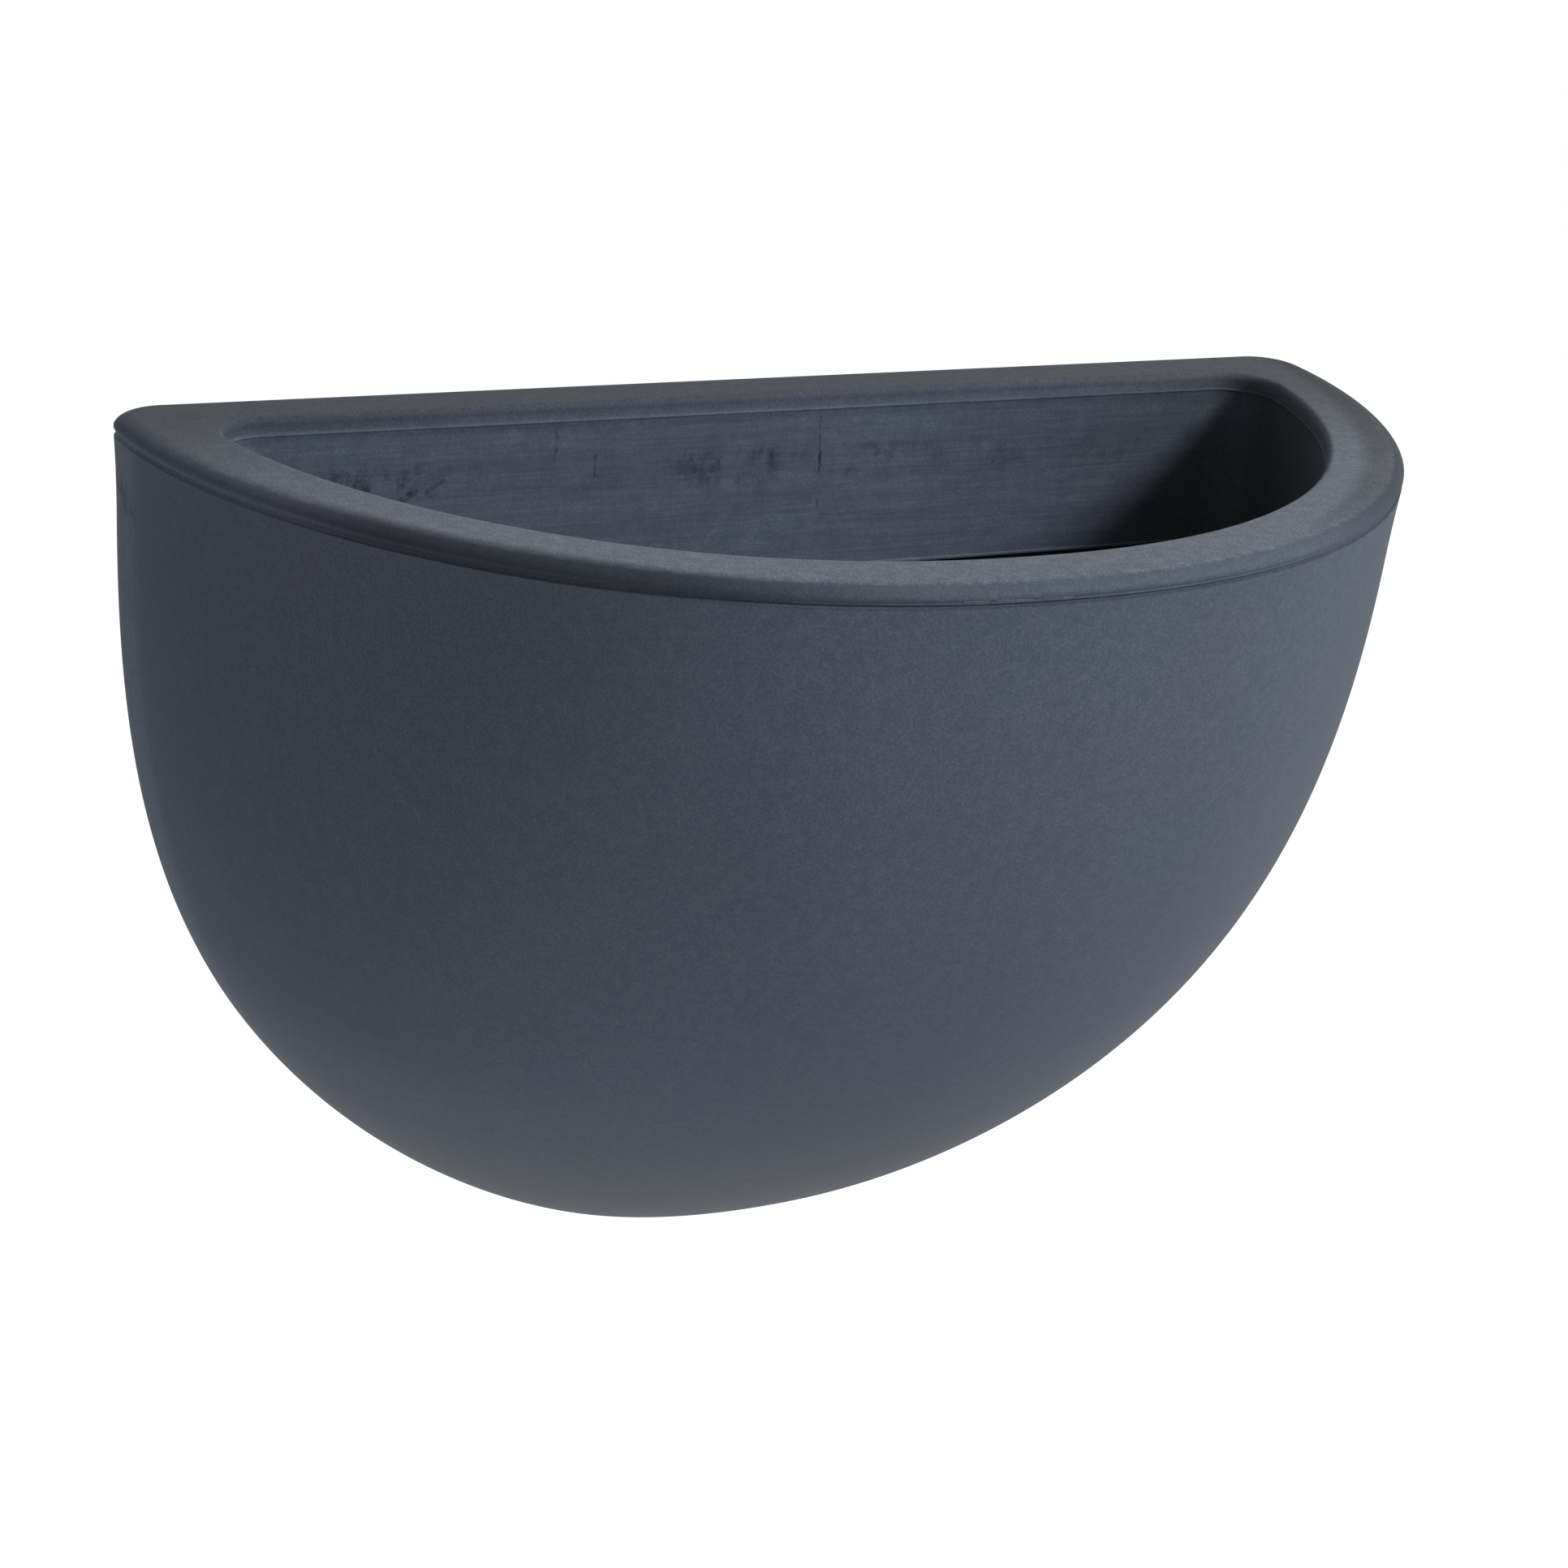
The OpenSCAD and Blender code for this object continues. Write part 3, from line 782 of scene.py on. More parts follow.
def bead_bands(s):
    """The groove, the bead's side, which rolls in towards the fine line, and its rounded top."""
    r, up = s.r, s.up
    bead, roll, bead_foot = r["Bead out"], r["Bead roll"], r["Bead height"]
    groove, line = r["Groove height"], r["Line height"]
    rounding, drop = r["Outer rounding"], r["Outer drop"]
    at_back = r["Back rounding"] / rounding

    # The groove runs out towards the left end
    curve_share = (s.along - s.curve_starts) / (1 - s.curve_starts)
    groove_depth = r["Groove depth"] * (s.across > 0.5).greatest(
        curve_share.ramp(*GROOVE_GROWS, GROOVE_LEAST))

    side_foot, side_top = bead_foot - line * 0.5, drop * TOP_SHEET
    line_place = ((up * (side_foot - side_top) - line / 2) / (line / 2)).size()
    rise = (1 - up.blend(side_foot, side_top) / drop).greatest(0.0)
    side_in = rounding * (1 - (1 - rise * rise) ** 0.5)
    turn_in = up.blend(r.wire.math("ARCSINE", 1 - side_top / drop), QUARTER_TURN)
    edge_in = rounding * (1 - turn_in.cos())
    return [
        (8, s.outer(bead_foot + groove - groove * up, up.blend(r["Flare"], bead - roll)
                    - groove_depth * (up * HALF_TURN).sin() ** 0.7)),
        (1, s.outer(up.blend(bead_foot, side_foot), bead - roll)),
        (14, s.outer(up.blend(side_foot, side_top), bead - side_in - roll * (1 - up) * (1 - up)
                     - r["Line depth"] * (1 - line_place * line_place).clamp(),
                     side_in * at_back)),
        (12, s.outer(drop * (1 - turn_in.sin()), bead - edge_in, edge_in * at_back)),
    ]


def mouth_bands(s):
    """The rim's top, its inner lip with the ridge under it, and the skirt down to its foot."""
    r, up = s.r, s.up
    lip, drop, ridge_top = r["Lip rounding"], r["Lip drop"], r["Ridge from"]
    ridge_foot = ridge_top + r["Ridge height"]
    skirt, skin, step = r["Skirt"], r["Skin"], r["Skirt step"]
    edge, foot = r["Skirt edge"], skirt + r["Skirt foot"]
    sweep, half_sweep = up * QUARTER_TURN, up * HALF_TURN
    return [
        (6, s.between(s.outer(0.0, r["Bead out"] - r["Outer rounding"], r["Back rounding"]),
                      s.mouth(0.0, lip))),
        (10, s.mouth(drop * (1 - sweep.cos()), lip * (1 - sweep.sin()))),
        (1, s.mouth(up.blend(drop, ridge_top), 0.0)),
        (8, s.mouth(up.blend(ridge_top, ridge_foot),
                    r["Ridge out"] * half_sweep.sin() ** 1.5 * -1)),
        (16, s.mouth(up.blend(ridge_foot, skirt - edge * 2), 0.0)),
        (8, s.mouth(skirt - edge * (1 + half_sweep.cos()), r["Hem"] * half_sweep.sin() * -1)),
        (1, s.mouth(skirt, step * up)),
        (2, s.mouth(up.blend(skirt, foot - edge), step)),
        (3, s.mouth(foot - edge * (1 - sweep.sin()), step + edge * (1 - sweep.cos()))),
        (1, s.mouth(foot, up.blend(step + edge, skin - edge))),
        (3, s.mouth(foot - edge * (1 - sweep.cos()), skin - edge * (1 - sweep.sin()))),
        (8, s.mouth(up.blend(foot - edge, skin), skin)),
    ]


def inside_bands(s):
    """Under the rim's top and down the bowl's inside to its floor."""
    r, skin = s.r, s.r["Skin"]
    ceiling = s.outer(skin, skin * -CEILING_TURN, skin * CEILING_TURN)
    start = (r["Bead height"] + skin) / r["Height"]
    return [
        (3, s.between(s.mouth(skin, skin), ceiling)),
        (2, s.between(ceiling, s.bowl(start, skin))),
        (r["Inside rings"], s.bowl(s.packed(start, LAST_INSIDE), skin)),
        (1, s.between(s.bowl(LAST_INSIDE, skin), s.tip(LAST_INSIDE, skin))),
    ]


def with_hanging(r, body):
    """Adds the pocket of skin round the recess, then cuts recess, slots and rivet holes."""
    skin, depth = r["Skin"], r["Recess depth"]
    tall = r["Recess top"] + r["Recess foot"]
    level = (r["Recess top"] - r["Recess foot"]) / 2
    block = r.moved(
        r.cube(r["Recess width"] + skin * 2, depth + skin - POCKET_GAP, tall + skin * 2),
        r.vector(0.0, (depth + skin + POCKET_GAP) / -2, level))
    body = r.node("GeometryNodeMeshBoolean", {"operation": "UNION", "solver": "EXACT"}, {
        "Mesh 2": [body, block]})
    cutter = rounded_cutter()
    recess = r.moved(cutter.use(r.wire, {
        "Width": r["Recess width"], "Height": tall, "Corner": r["Recess corner"], "Depth": depth,
        "Edge": r["Recess edge"], "Floor edge": r["Recess edge"]}), r.vector(0.0, 0.0, level))
    slot = r.moved(cutter.use(r.wire, {
        "Width": r["Slot width"], "Height": r["Slot width"] + r["Lift"],
        "Corner": r["Slot width"] / 2, "Depth": skin + PAST, "Edge": SLOT_EDGES[0],
        "Floor edge": SLOT_EDGES[1]}), r.vector(0.0, CLEAR - depth, r["Lift"] / -2))
    hole = r.moved(r.cylinder(HOLE_STEPS, r["Rivet"] + RIVET_ROOM, skin + PAST * 2),
                   r.vector(0.0, (depth + skin / 2) * -1, 0.0), UPRIGHT)
    return r.carve(body, recess, r.copies(slot, stud_points(r)), r.copies(hole, rivet_points(r)))


def with_drain(r, body):
    """Cuts the flat seat and the bore square to the skin."""
    seat = r.moved(r.cylinder(DRAIN_STEPS, r["Seat"], r["Seat depth"] * 2 + SEAT_PAST),
                   r.vector(0.0, 0.0, SEAT_PAST / -2))
    bore = r.cylinder(DRAIN_STEPS, r["Bore"], r["Skin"] * BORE_SKINS)
    return r.carve(body, at_drain(r, seat), at_drain(r, bore))


def bowl_recipe():
    """The whole moulding: bowl, rolled rim and skirt in one skin, then recess, slots, drain."""
    r = Recipe("Half-round planter", {
        **numbers(BOWL_INPUTS, RIM_INPUTS, BACK_INPUTS, DRAIN_INPUTS),
        "Mouth angle": ("number", 0.0),
        **{label: ("count", 8) for label in COUNT_INPUTS}, "Material": ("material", None)})
    s = Sections(r)
    body = r.welded(*[
        r.grid(s.half_count * 2, rows, place)
        for part in (outside_bands, bead_bands, mouth_bands, inside_bands)
        for rows, place in part(s)])
    return r.finished(with_drain(r, with_hanging(r, body)))


def mouth_angle(bowl, rim):
    """Where on the plan curve the opening's back corner runs into the front."""
    wide, deep = bowl.width / 2 - bowl.corner, bowl.depth - 2 * bowl.corner
    reach = bowl.corner - (rim.width - rim.bead_out) - rim.mouth_corner
    low, high = 0.0, QUARTER_TURN
    for _ in range(HALVINGS):
        t = (low + high) / 2
        nx = bowl.across / wide * math.cos(t) ** (2 - 2 / bowl.across)
        ny = bowl.along / deep * math.sin(t) ** (2 - 2 / bowl.along)
        y = bowl.corner + deep * math.sin(t) ** (2 / bowl.along) + reach * ny / math.hypot(nx, ny)
        if y < rim.back_width + rim.mouth_corner:
            low = t
        else:
            high = t
    return low


# Materials

def new_material(name):
    """A material's surface shader and a wire to build on."""
    material = bpy.data.materials.new(name)
    material.use_nodes = True
    tree = material.node_tree
    shader = next(n for n in tree.nodes if n.type == "BSDF_PRINCIPLED")
    return material, shader, Wire(tree)


def plug_in(wire, shader, values):
    for name, value in values.items():
        if isinstance(value, Wire):
            wire.tree.links.new(value.socket, shader.inputs[name])
        else:
            shader.inputs[name].default_value = value


def object_place(wire):
    return wire.node("ShaderNodeTexCoord", take="Object")


# Noises: scale, detail, roughness and, where one is drawn out, its stretch. The scales of the
# grain's are divided by the size of a grain.
GRAIN_NOISES = {"grain": (1.0, 3.0, 0.6), "clumps": (0.2, 2.0, 0.5), "specks": (0.55, 1.0, 0.5)}
PLASTIC_NOISES = {
    "clouds": (14.0, 3.0, 0.5), "patches": (26.0, 2.0, 0.5, (1.0, 1.0, 1.6)),
    "drawn": (1000.0, 3.0, 0.6, (0.025, 1.0, 1.0)),
    "broad drawn": (260.0, 3.0, 0.6, (0.05, 1.0, 1.0)),
    "upright": (500.0, 2.0, 0.6, (1.0, 1.0, 0.06)),
    "blots": (130.0, 6.0, 0.75, (0.8, 1.0, 0.6)),
    "wobble": (420.0, 4.0, 0.65), "broken": (330.0, 4.0, 0.6),
}
STEEL_BRUSHED, STEEL_DULL = (900.0, 3.0, 0.6, (0.05, 1.0, 1.0)), (60.0, 4.0, 0.6)
RUBBER_GRAIN, RUBBER_DUST = (1400.0, 3.0, 0.6), (120.0, 4.0, 0.6)
# Flakes of the zinc to a metre, and the depth of the brushing and of the rubber's grain
SPANGLE = 260.0
BRUSH_DEPTH, RUBBER_DEPTH = 0.02 * MM, 0.03 * MM


def noise(wire, place, scale, detail, rough, stretch=None):
    """Noise from 0 to 1 on object coordinates."""
    if stretch:
        place = wire.node("ShaderNodeMapping", None, {"Vector": place, "Scale": stretch})
    return wire.node("ShaderNodeTexNoise", {"noise_dimensions": "3D"}, {
        "Vector": place, "Scale": scale, "Detail": detail, "Roughness": rough})


def bump(wire, height, depth, strength):
    return wire.node("ShaderNodeBump", None, {
        "Height": height, "Distance": depth, "Strength": strength})


# Places on the moulding, each with the stretches over which it begins, from nothing to full. X, Y,
# Z, the level over the rim's top (rough: shifted by the grain) and the way out from the rim's edge
# are in millimetres. The plan is 1 on the bowl's outline and less inside it.
PLACES = {
    "top": (("rough level", -0.9, -0.15),),
    "hollow": (("plan", 0.92, 0.86), ("level", -3, -6)),
    "wall": (("y", -40, -28), ("y", -3, -6), ("level", -5, -6.5)),
    "wall's band": (("z", 9, 14), ("z", 28, 22)),
    "band's left": (("x", 60, -10),),
    "wall's right": (("x", 20, 200),),
    "hollow's right": (("x", 170, 215),),
    "lip": (("y", -60, -40), ("plan", 0.97, 0.93), ("x", 190, 150), ("level", -5, -1.5)),
    "bead's front": (("y", -235, -245),),
    "groove": (("level", -8, -7.3), ("level", -6.3, -6.8), ("x", -160, 0), ("plan", 0.93, 0.97)),
    "front": (("y", -10, -130),),
    "left front": (("x", -40, -110), ("y", -130, -160)),
    "right end": (("x", 180, 240),),
    "left side": (("x", -100, -190), ("z", -190, -140)),
    "right side": (("x", 130, 205),),
    "foot": (("z", -150, -260),),
    "rim's edge": (("edge", -6.5, 0.5), ("level", -7, -6.2)),
    # Painted shade along the rim's outer edge and down the bead's side
    "painted edge shade left": (("x", -235, -200), ("x", -45, -135)),
    "painted edge shade right": (("x", 90, 170),),
}
# Where the painted shade along the rim's edge ends nearer to that edge, by how much, and how much
# clouds shift its end, in millimetres
SHADE_NEARER_EDGE = (("x", 60, 150),)
SHADE_NEARER_BY = 7
CLOUDY_BY = 4
# How much the grain shifts the level at which the rim's top begins, in millimetres
GRAINY_BY = 0.5
# Slow shadows: what is darker, within which larger place, and by which share
SHADOWS = (
    ("hollow's right", "open hollow", 0.30), ("lip", "off the top", 0.22),
    ("groove", "plain", 0.35), ("left side", "plain", 0.15), ("right side", "plain", 0.24),
)
# Shares of painted light and shade: by which the rim's top is duller at the right end and paler at
# the left front, by which painted shade darkens its edge at the left and the right, and by which
# painted bounce light makes the foot paler
TOP_PAINTED_SHADE_RIGHT, TOP_PAINTED_LIGHT_LEFT = 0.60, 0.14
EDGE_PAINTED_SHADE_LEFT, EDGE_PAINTED_SHADE_RIGHT = 0.54, 0.36
FOOT_PAINTED_LIGHT = 0.08
# Painted light on the inner back wall at its left, painted shade at its right, and the least of its
# mottled band
WALL_PAINTED_LIGHT_LEFT, WALL_PAINTED_SHADE_RIGHT = 1.34, 0.80
BAND_LEAST = 0.30
# How much dust with painted sheen and bounce light places take; how strong pale and dark grains and
# specks are, and more so on the top
DUST_AND_PAINTED_SHEEN = {"top": 0.75, "foot": 0.60, "right side": 0.40}
PALE_GRAIN, DARK_GRAIN, SPECK, MORE_ON_TOP = 0.40, 0.35, 0.35, 0.30
# Streaks on the inner back wall: noise, where in it they begin and are full, strength
STREAKS = (
    ("drawn", 0.40, 0.60, 0.34), ("broad drawn", 0.40, 0.65, 0.30), ("upright", 0.50, 0.70, 0.10),
)
# Strength of the blots on the wall and in its band; how far marks wobble across, in millimetres,
# and as shares of that up the wall and up the bead
BLOTS, BAND_BLOTS = 0.12, 0.75
WOBBLE, WOBBLE_UP, WOBBLE_BEAD = 2.4, 0.6, 0.3
# A stroke is full within this share of its half width
STROKE_CORE = 0.3
# Dark marks on the inner back wall: across and up at both ends, half width, strength
SCRATCHES = (
    (23.5, 36.0, 24.6, 22.0, 0.50, 0.55),
    (24.6, 22.0, 25.0, 14.5, 0.90, 0.95),
    (25.1, 2.2, 25.3, 0.0, 0.80, 0.70),
    (-86.8, 40.8, -86.4, 33.0, 0.50, 0.40),
    (-86.4, 33.0, -86.5, 24.5, 0.80, 0.70),
    (-70.1, 25.3, -69.8, 17.0, 0.85, 0.60),
    (-60.9, 16.6, -60.6, 14.9, 0.90, 0.50),
    (-146.5, 12.2, -141.5, 15.4, 2.00, 0.90),
    (-143.0, 15.0, -129.0, 22.8, 3.00, 0.30),
    (-137.0, 15.0, -130.5, 18.8, 1.30, 0.55),
    (-29.5, 19.6, -25.6, 17.0, 2.20, 0.45),
    (46.5, 24.0, 49.5, 20.6, 2.40, 0.45),
    (26.5, -3.2, 59.6, -5.1, 0.60, 0.28),
)
# Pale rubbed lines on the front of the bead, given in the same way
RUBS = (
    (-40.2, 40.5, -32.0, 40.4, 0.30, 0.55),
    (-36.0, 39.4, -31.5, 39.3, 0.25, 0.45),
    (-29.2, 40.7, -15.8, 40.3, 0.32, 0.65),
    (-14.2, 40.8, -1.0, 40.4, 0.28, 0.55),
)


def stroke(x, z, mark):
    """A line from one place to another: its strength on the line, and 0 away from it."""
    x_from, z_from, x_to, z_to, half = (part * MM for part in mark[:5])
    run, rise = x_to - x_from, z_to - z_from
    x_off, z_off = x - x_from, z - z_from
    along = ((x_off * run + z_off * rise) / (run * run + rise * rise)).clamp()
    x_off, z_off = x_off - along * run, z_off - along * rise
    off = (x_off * x_off + z_off * z_off) ** 0.5
    return off.ramp(half, half * STROKE_CORE) * mark[5]


def strokes(x, z, marks):
    """All these marks, the stronger one where they cross."""
    return functools.reduce(Wire.greatest, (stroke(x, z, mark) for mark in marks))


def within(measures, stretches):
    """How fully a spot lies within all these stretches, from 0 to 1."""
    units = {"plan": 1.0}
    return functools.reduce(operator.mul, (
        measures[axis].ramp(start * units.get(axis, MM), end * units.get(axis, MM))
        for axis, start, end in stretches))


def rim_edge(x, y, plan, bowl):
    """How far a spot lies out from the bowl's outline, by the plan's slope there."""
    steep_x = (x / (bowl.width / 2)).size() ** (bowl.across - 1) * (bowl.across / (bowl.width / 2))
    steep_y = (y / bowl.depth).size() ** (bowl.along - 1) * (bowl.along / bowl.depth)
    return (plan - 1) / (steep_x * steep_x + steep_y * steep_y) ** 0.5


class SlatePlastic:
    """The moulded plastic: its places and noises, then marks, colours and painted light and shade
    on them.
    """

    def __init__(self, finish, bowl, rim):
        self.finish = finish
        self.material, self.shader, self.wire = new_material("moulded slate plastic")
        place = object_place(self.wire)
        parts = self.wire.node("ShaderNodeSeparateXYZ", None, {0: place})
        self.x, self.y, self.z = parts, parts.other("Y"), parts.other("Z")
        self.noise = {
            name: noise(self.wire, place, *values) for name, values in PLASTIC_NOISES.items()}
        for name, (scale, detail, rough) in GRAIN_NOISES.items():
            self.noise[name] = noise(self.wire, place, scale / finish.grain, detail, rough)
        self.zone = self.zones(bowl, rim)
        self.grains = (self.noise["grain"] * 0.75 + self.noise["clumps"] * 0.25).ramp(0.38, 0.64)
        self.broken = self.noise["broken"].ramp(0.26, 0.60)
        self.wobble = (self.noise["wobble"] - 0.5) * (WOBBLE * MM)

    def zones(self, bowl, rim):
        """How fully a spot lies in each place, from 0 to 1."""
        x, y, level = self.x, self.y, self.z - rim.top
        plan = (x / (bowl.width / 2)).size() ** bowl.across + (y / bowl.depth).size() ** bowl.along
        measures = {
            "x": x, "y": y, "z": self.z, "level": level, "plan": plan,
            "rough level": level + (self.noise["clumps"] - 0.5) * (GRAINY_BY * MM)}
        measures["edge"] = rim_edge(x, y, plan, bowl) \
            + (self.noise["clouds"] - 0.5) * (CLOUDY_BY * MM) \
            + within(measures, SHADE_NEARER_EDGE) * (SHADE_NEARER_BY * MM)
        zone = {name: within(measures, stretches) for name, stretches in PLACES.items()}
        zone["off the top"] = 1 - zone["top"]
        zone["open hollow"] = zone["hollow"] * (1 - zone["wall"])
        zone["plain"] = zone["off the top"] * (1 - zone["wall"])
        return zone

    def scuffs(self):
        """Blots and scratches on the inner back wall."""
        zone = self.zone
        band = zone["wall's band"] * zone["band's left"].blend(BAND_LEAST, 1.0) \
            * self.noise["clouds"].ramp(0.36, 0.56)
        blots = self.noise["blots"].ramp(0.45, 0.68) * (band * BAND_BLOTS + BLOTS)
        scratches = strokes(self.x + self.wobble, self.z + self.wobble * WOBBLE_UP, SCRATCHES)
        return (blots.greatest(scratches * self.broken) * zone["wall"]).clamp()

    def rubs(self):
        """Pale rubbed lines on the bead."""
        lines = strokes(self.x, self.z + self.wobble * WOBBLE_BEAD, RUBS)
        return lines * self.broken * self.zone["bead's front"]

    def colour(self, scuffs):
        """Clouds and patches, dust with painted sheen and bounce light, grains and specks, then
        streaks and marks over them.
        """
        finish, zone, top = self.finish, self.zone, self.zone["top"] * MORE_ON_TOP
        body = self.noise["clouds"].ramp(0.30, 0.70).tint(finish.warm, finish.cool)
        body = self.noise["patches"].ramp(0.25, 0.75, 0.0, 0.55).tint(body, finish.slate)
        dust_and_painted_sheen = sum(zone[name] * strength for name, strength in DUST_AND_PAINTED_SHEEN.items()).clamp()
        streaks = zone["wall"] * sum(
            self.noise[name].ramp(start, full) * strength
            for name, start, full, strength in STREAKS)
        for cover, shade in (
                (dust_and_painted_sheen, finish.dust), (self.grains * (top + PALE_GRAIN), finish.slate_pale),
                ((1 - self.grains) * (top + DARK_GRAIN), finish.slate_dark),
                (self.noise["specks"].ramp(0.66, 0.74) * SPECK, finish.slate_pale),
                (streaks, finish.slate_dark), (scuffs, finish.scuff), (self.rubs(), finish.rub)):
            body = cover.tint(body, shade)
        return body

    def painted_light_factor(self):
        """Painted light and shade, as a factor on the colour."""
        zone, finish = self.zone, self.finish
        # Painted light on the rim's top at the front and left front, painted shade at the wall and
        # the right end
        painted_light_share = zone["front"] * (1 - zone["right end"] * TOP_PAINTED_SHADE_RIGHT) \
            * (1 + zone["left front"] * TOP_PAINTED_LIGHT_LEFT)
        painted_light_factor = zone["top"].blend(1.0, painted_light_share.blend(finish.top_painted_shade_back, finish.top_painted_light_front))
        # Painted light on the inner back wall's left, and painted shade towards its right
        painted_light_factor = painted_light_factor * zone["wall"].blend(1.0, zone["wall's right"].blend(WALL_PAINTED_LIGHT_LEFT, WALL_PAINTED_SHADE_RIGHT))
        for name, place, strength in SHADOWS:
            painted_light_factor = painted_light_factor * (1 - zone[name] * zone[place] * strength)
        # Painted shade along the rim's outer edge and the bead's side
        painted_edge_shade = zone["painted edge shade left"] * EDGE_PAINTED_SHADE_LEFT + zone["painted edge shade right"] * EDGE_PAINTED_SHADE_RIGHT
        # Painted bounce light on the foot
        return painted_light_factor * (1 - zone["rim's edge"] * painted_edge_shade) * (1 + zone["foot"] * FOOT_PAINTED_LIGHT)

    def made(self):
        finish, scuffs = self.finish, self.scuffs()
        height = self.noise["grain"] * 0.7 + self.noise["clumps"] * 0.3 \
            + self.noise["drawn"] * self.zone["wall"] * 0.8 - scuffs * 1.2
        plug_in(self.wire, self.shader, {
            "Base Color": self.painted_light_factor().times(self.colour(scuffs)),
            "Roughness": (self.grains - 0.5) * 0.10 + finish.roughness,
            "Specular IOR Level": 0.12,
            "Normal": bump(self.wire, height, finish.grain_depth, 0.8),
        })
        return self.material


def galvanised(finish):
    """Zinc with its spangle of flakes, brushed and dulled in places."""
    material, shader, wire = new_material("galvanised steel")
    place = object_place(wire)
    spangle = wire.node("ShaderNodeTexVoronoi", {"feature": "F1"}, {
        "Vector": place, "Scale": SPANGLE, "Randomness": 1.0})
    flakes = wire.node("ShaderNodeSeparateColor", None, {0: spangle.other("Color")})
    dull = noise(wire, place, *STEEL_DULL).ramp(0.35, 0.75)
    dark = tuple(0.72 * part for part in finish.zinc)
    height = noise(wire, place, *STEEL_BRUSHED) + flakes * 0.2
    plug_in(wire, shader, {
        "Base Color": (flakes * 0.35 + dull * 0.35).clamp().tint(finish.zinc, dark),
        "Metallic": 1.0,
        "Roughness": flakes * 0.10 + dull * 0.14 + 0.30,
        "Normal": bump(wire, height, BRUSH_DEPTH, 0.6),
    })
    return material


def plug_rubber(finish):
    """Matt rubber with a little pale dust."""
    material, shader, wire = new_material("matt rubber")
    place = object_place(wire)
    grain = noise(wire, place, *RUBBER_GRAIN)
    dust = noise(wire, place, *RUBBER_DUST).ramp(0.45, 0.75)
    pale = tuple(part + 0.035 for part in finish.rubber)
    plug_in(wire, shader, {
        "Base Color": (dust * 0.6).tint(finish.rubber, pale),
        "Roughness": grain * 0.12 + 0.66,
        "Specular IOR Level": 0.35,
        "Normal": bump(wire, grain, RUBBER_DEPTH, 0.7),
    })
    return material


def zinc_of(context):
    """The steel that several pieces wear, made once."""
    return bpy.data.materials.get("galvanised steel") or galvanised(context.scene.planter_finish)


# Pieces

def softened(node, name, edge, material):
    """A copy of a solid with its loose triangles merged and its sharp edges rounded."""
    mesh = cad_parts[node].data.copy()
    mesh.name = name
    work = bmesh.new()
    work.from_mesh(mesh)
    bmesh.ops.remove_doubles(work, verts=work.verts, dist=WELD / 2)
    bmesh.ops.dissolve_limit(
        work, angle_limit=FLAT_UNDER, verts=work.verts, edges=work.edges)
    sharp = [e for e in work.edges
             if len(e.link_faces) == 2 and e.calc_face_angle() > SHARP_OVER]
    bmesh.ops.bevel(work, geom=sharp, offset=edge, segments=2, profile=0.6, affect="EDGES",
                    clamp_overlap=True)
    bmesh.ops.triangulate(work, faces=[f for f in work.faces if len(f.verts) > 4])
    bmesh.ops.recalc_face_normals(work, faces=work.faces)
    work.to_mesh(mesh)
    work.free()
    mesh.materials.clear()
    mesh.materials.append(material)
    piece = bpy.data.objects.new(name, mesh)
    bpy.context.scene.collection.objects.link(piece)
    smooth(mesh)
    return piece


def rivet_recipe():
    """Blind rivets: domed head with the pin's end in it, shank, and the swelling behind."""
    r = turned_recipe("Blind rivets", RIVET_STEPS, RIVET_INPUTS, ["Skin"])
    dome, head, shank, tail = r["Dome"], r["Head"], r["Shank"], r["Tail"]
    grip = r["Plate thickness"] + r["Skin"]
    end = grip + r["Swelling"]
    pin, pin_end, dimple = shank * 0.5, dome * -0.55, dome * -0.35
    gap, slope, soft = 0.1 * MM, 0.3 * MM, 1 * MM
    brim = 0.15

    def bands(up):
        sweep = up * QUARTER_TURN
        return [
            (1, pin * up, pin_end),
            (1, pin + up * gap, up.blend(pin_end, dimple)),
            (1, pin + gap + up * slope, up.blend(dimple, dome * -1)),
            (8, up.blend(pin + (gap + slope), head),
             (sweep.cos() ** 0.8 * (1 - brim) + brim) * dome * -1),
            (1, head, (1 - up) * dome * -brim),
            (1, up.blend(head, shank), 0.0),
            (1, shank, up * grip),
            (1, up.blend(shank, tail), grip),
            (1, tail, up.blend(grip, end - soft)),
            (3, tail - (1 - sweep.cos()) * soft, end - soft + sweep.sin() * soft),
            (1, (tail - soft) * (1 - up), end),
        ]

    rivet = r.moved(turned(r, bands),
                    r.vector(0.0, (r["Recess depth"] - r["Plate thickness"]) * -1, 0.0), UPRIGHT)
    return r.finished(r.copies(rivet, rivet_points(r)))


def stud_recipe():
    """Headed studs: tail in the rail, shank, and a flat head with rounded edges."""
    r = turned_recipe("Headed studs", STUD_STEPS, STUD_INPUTS)
    head, shank, tail = r["Head"], r["Shank"], r["Tail"]
    rail, neck = r["Rail thickness"], r["Head from"]
    end = neck + r["Head thickness"]
    edge, face_edge = r["Edge"], r["Edge"] * 2

    def bands(up):
        sweep = up * QUARTER_TURN
        return [
            (1, tail * up, 0.0),
            (1, tail, up * rail),
            (1, up.blend(tail, shank), rail),
            (1, shank, up.blend(rail, neck)),
            (1, up.blend(shank, head - edge), neck),
            (3, head - edge * (1 - sweep.sin()), neck + edge * (1 - sweep.cos())),
            (1, head, up.blend(neck + edge, end - face_edge)),
            (4, head - face_edge * (1 - sweep.cos()), end - face_edge * (1 - sweep.sin())),
            (1, (head - face_edge) * (1 - up), end),
        ]

    return r.finished(r.copies(r.moved(turned(r, bands), angles=UPRIGHT), stud_points(r)))


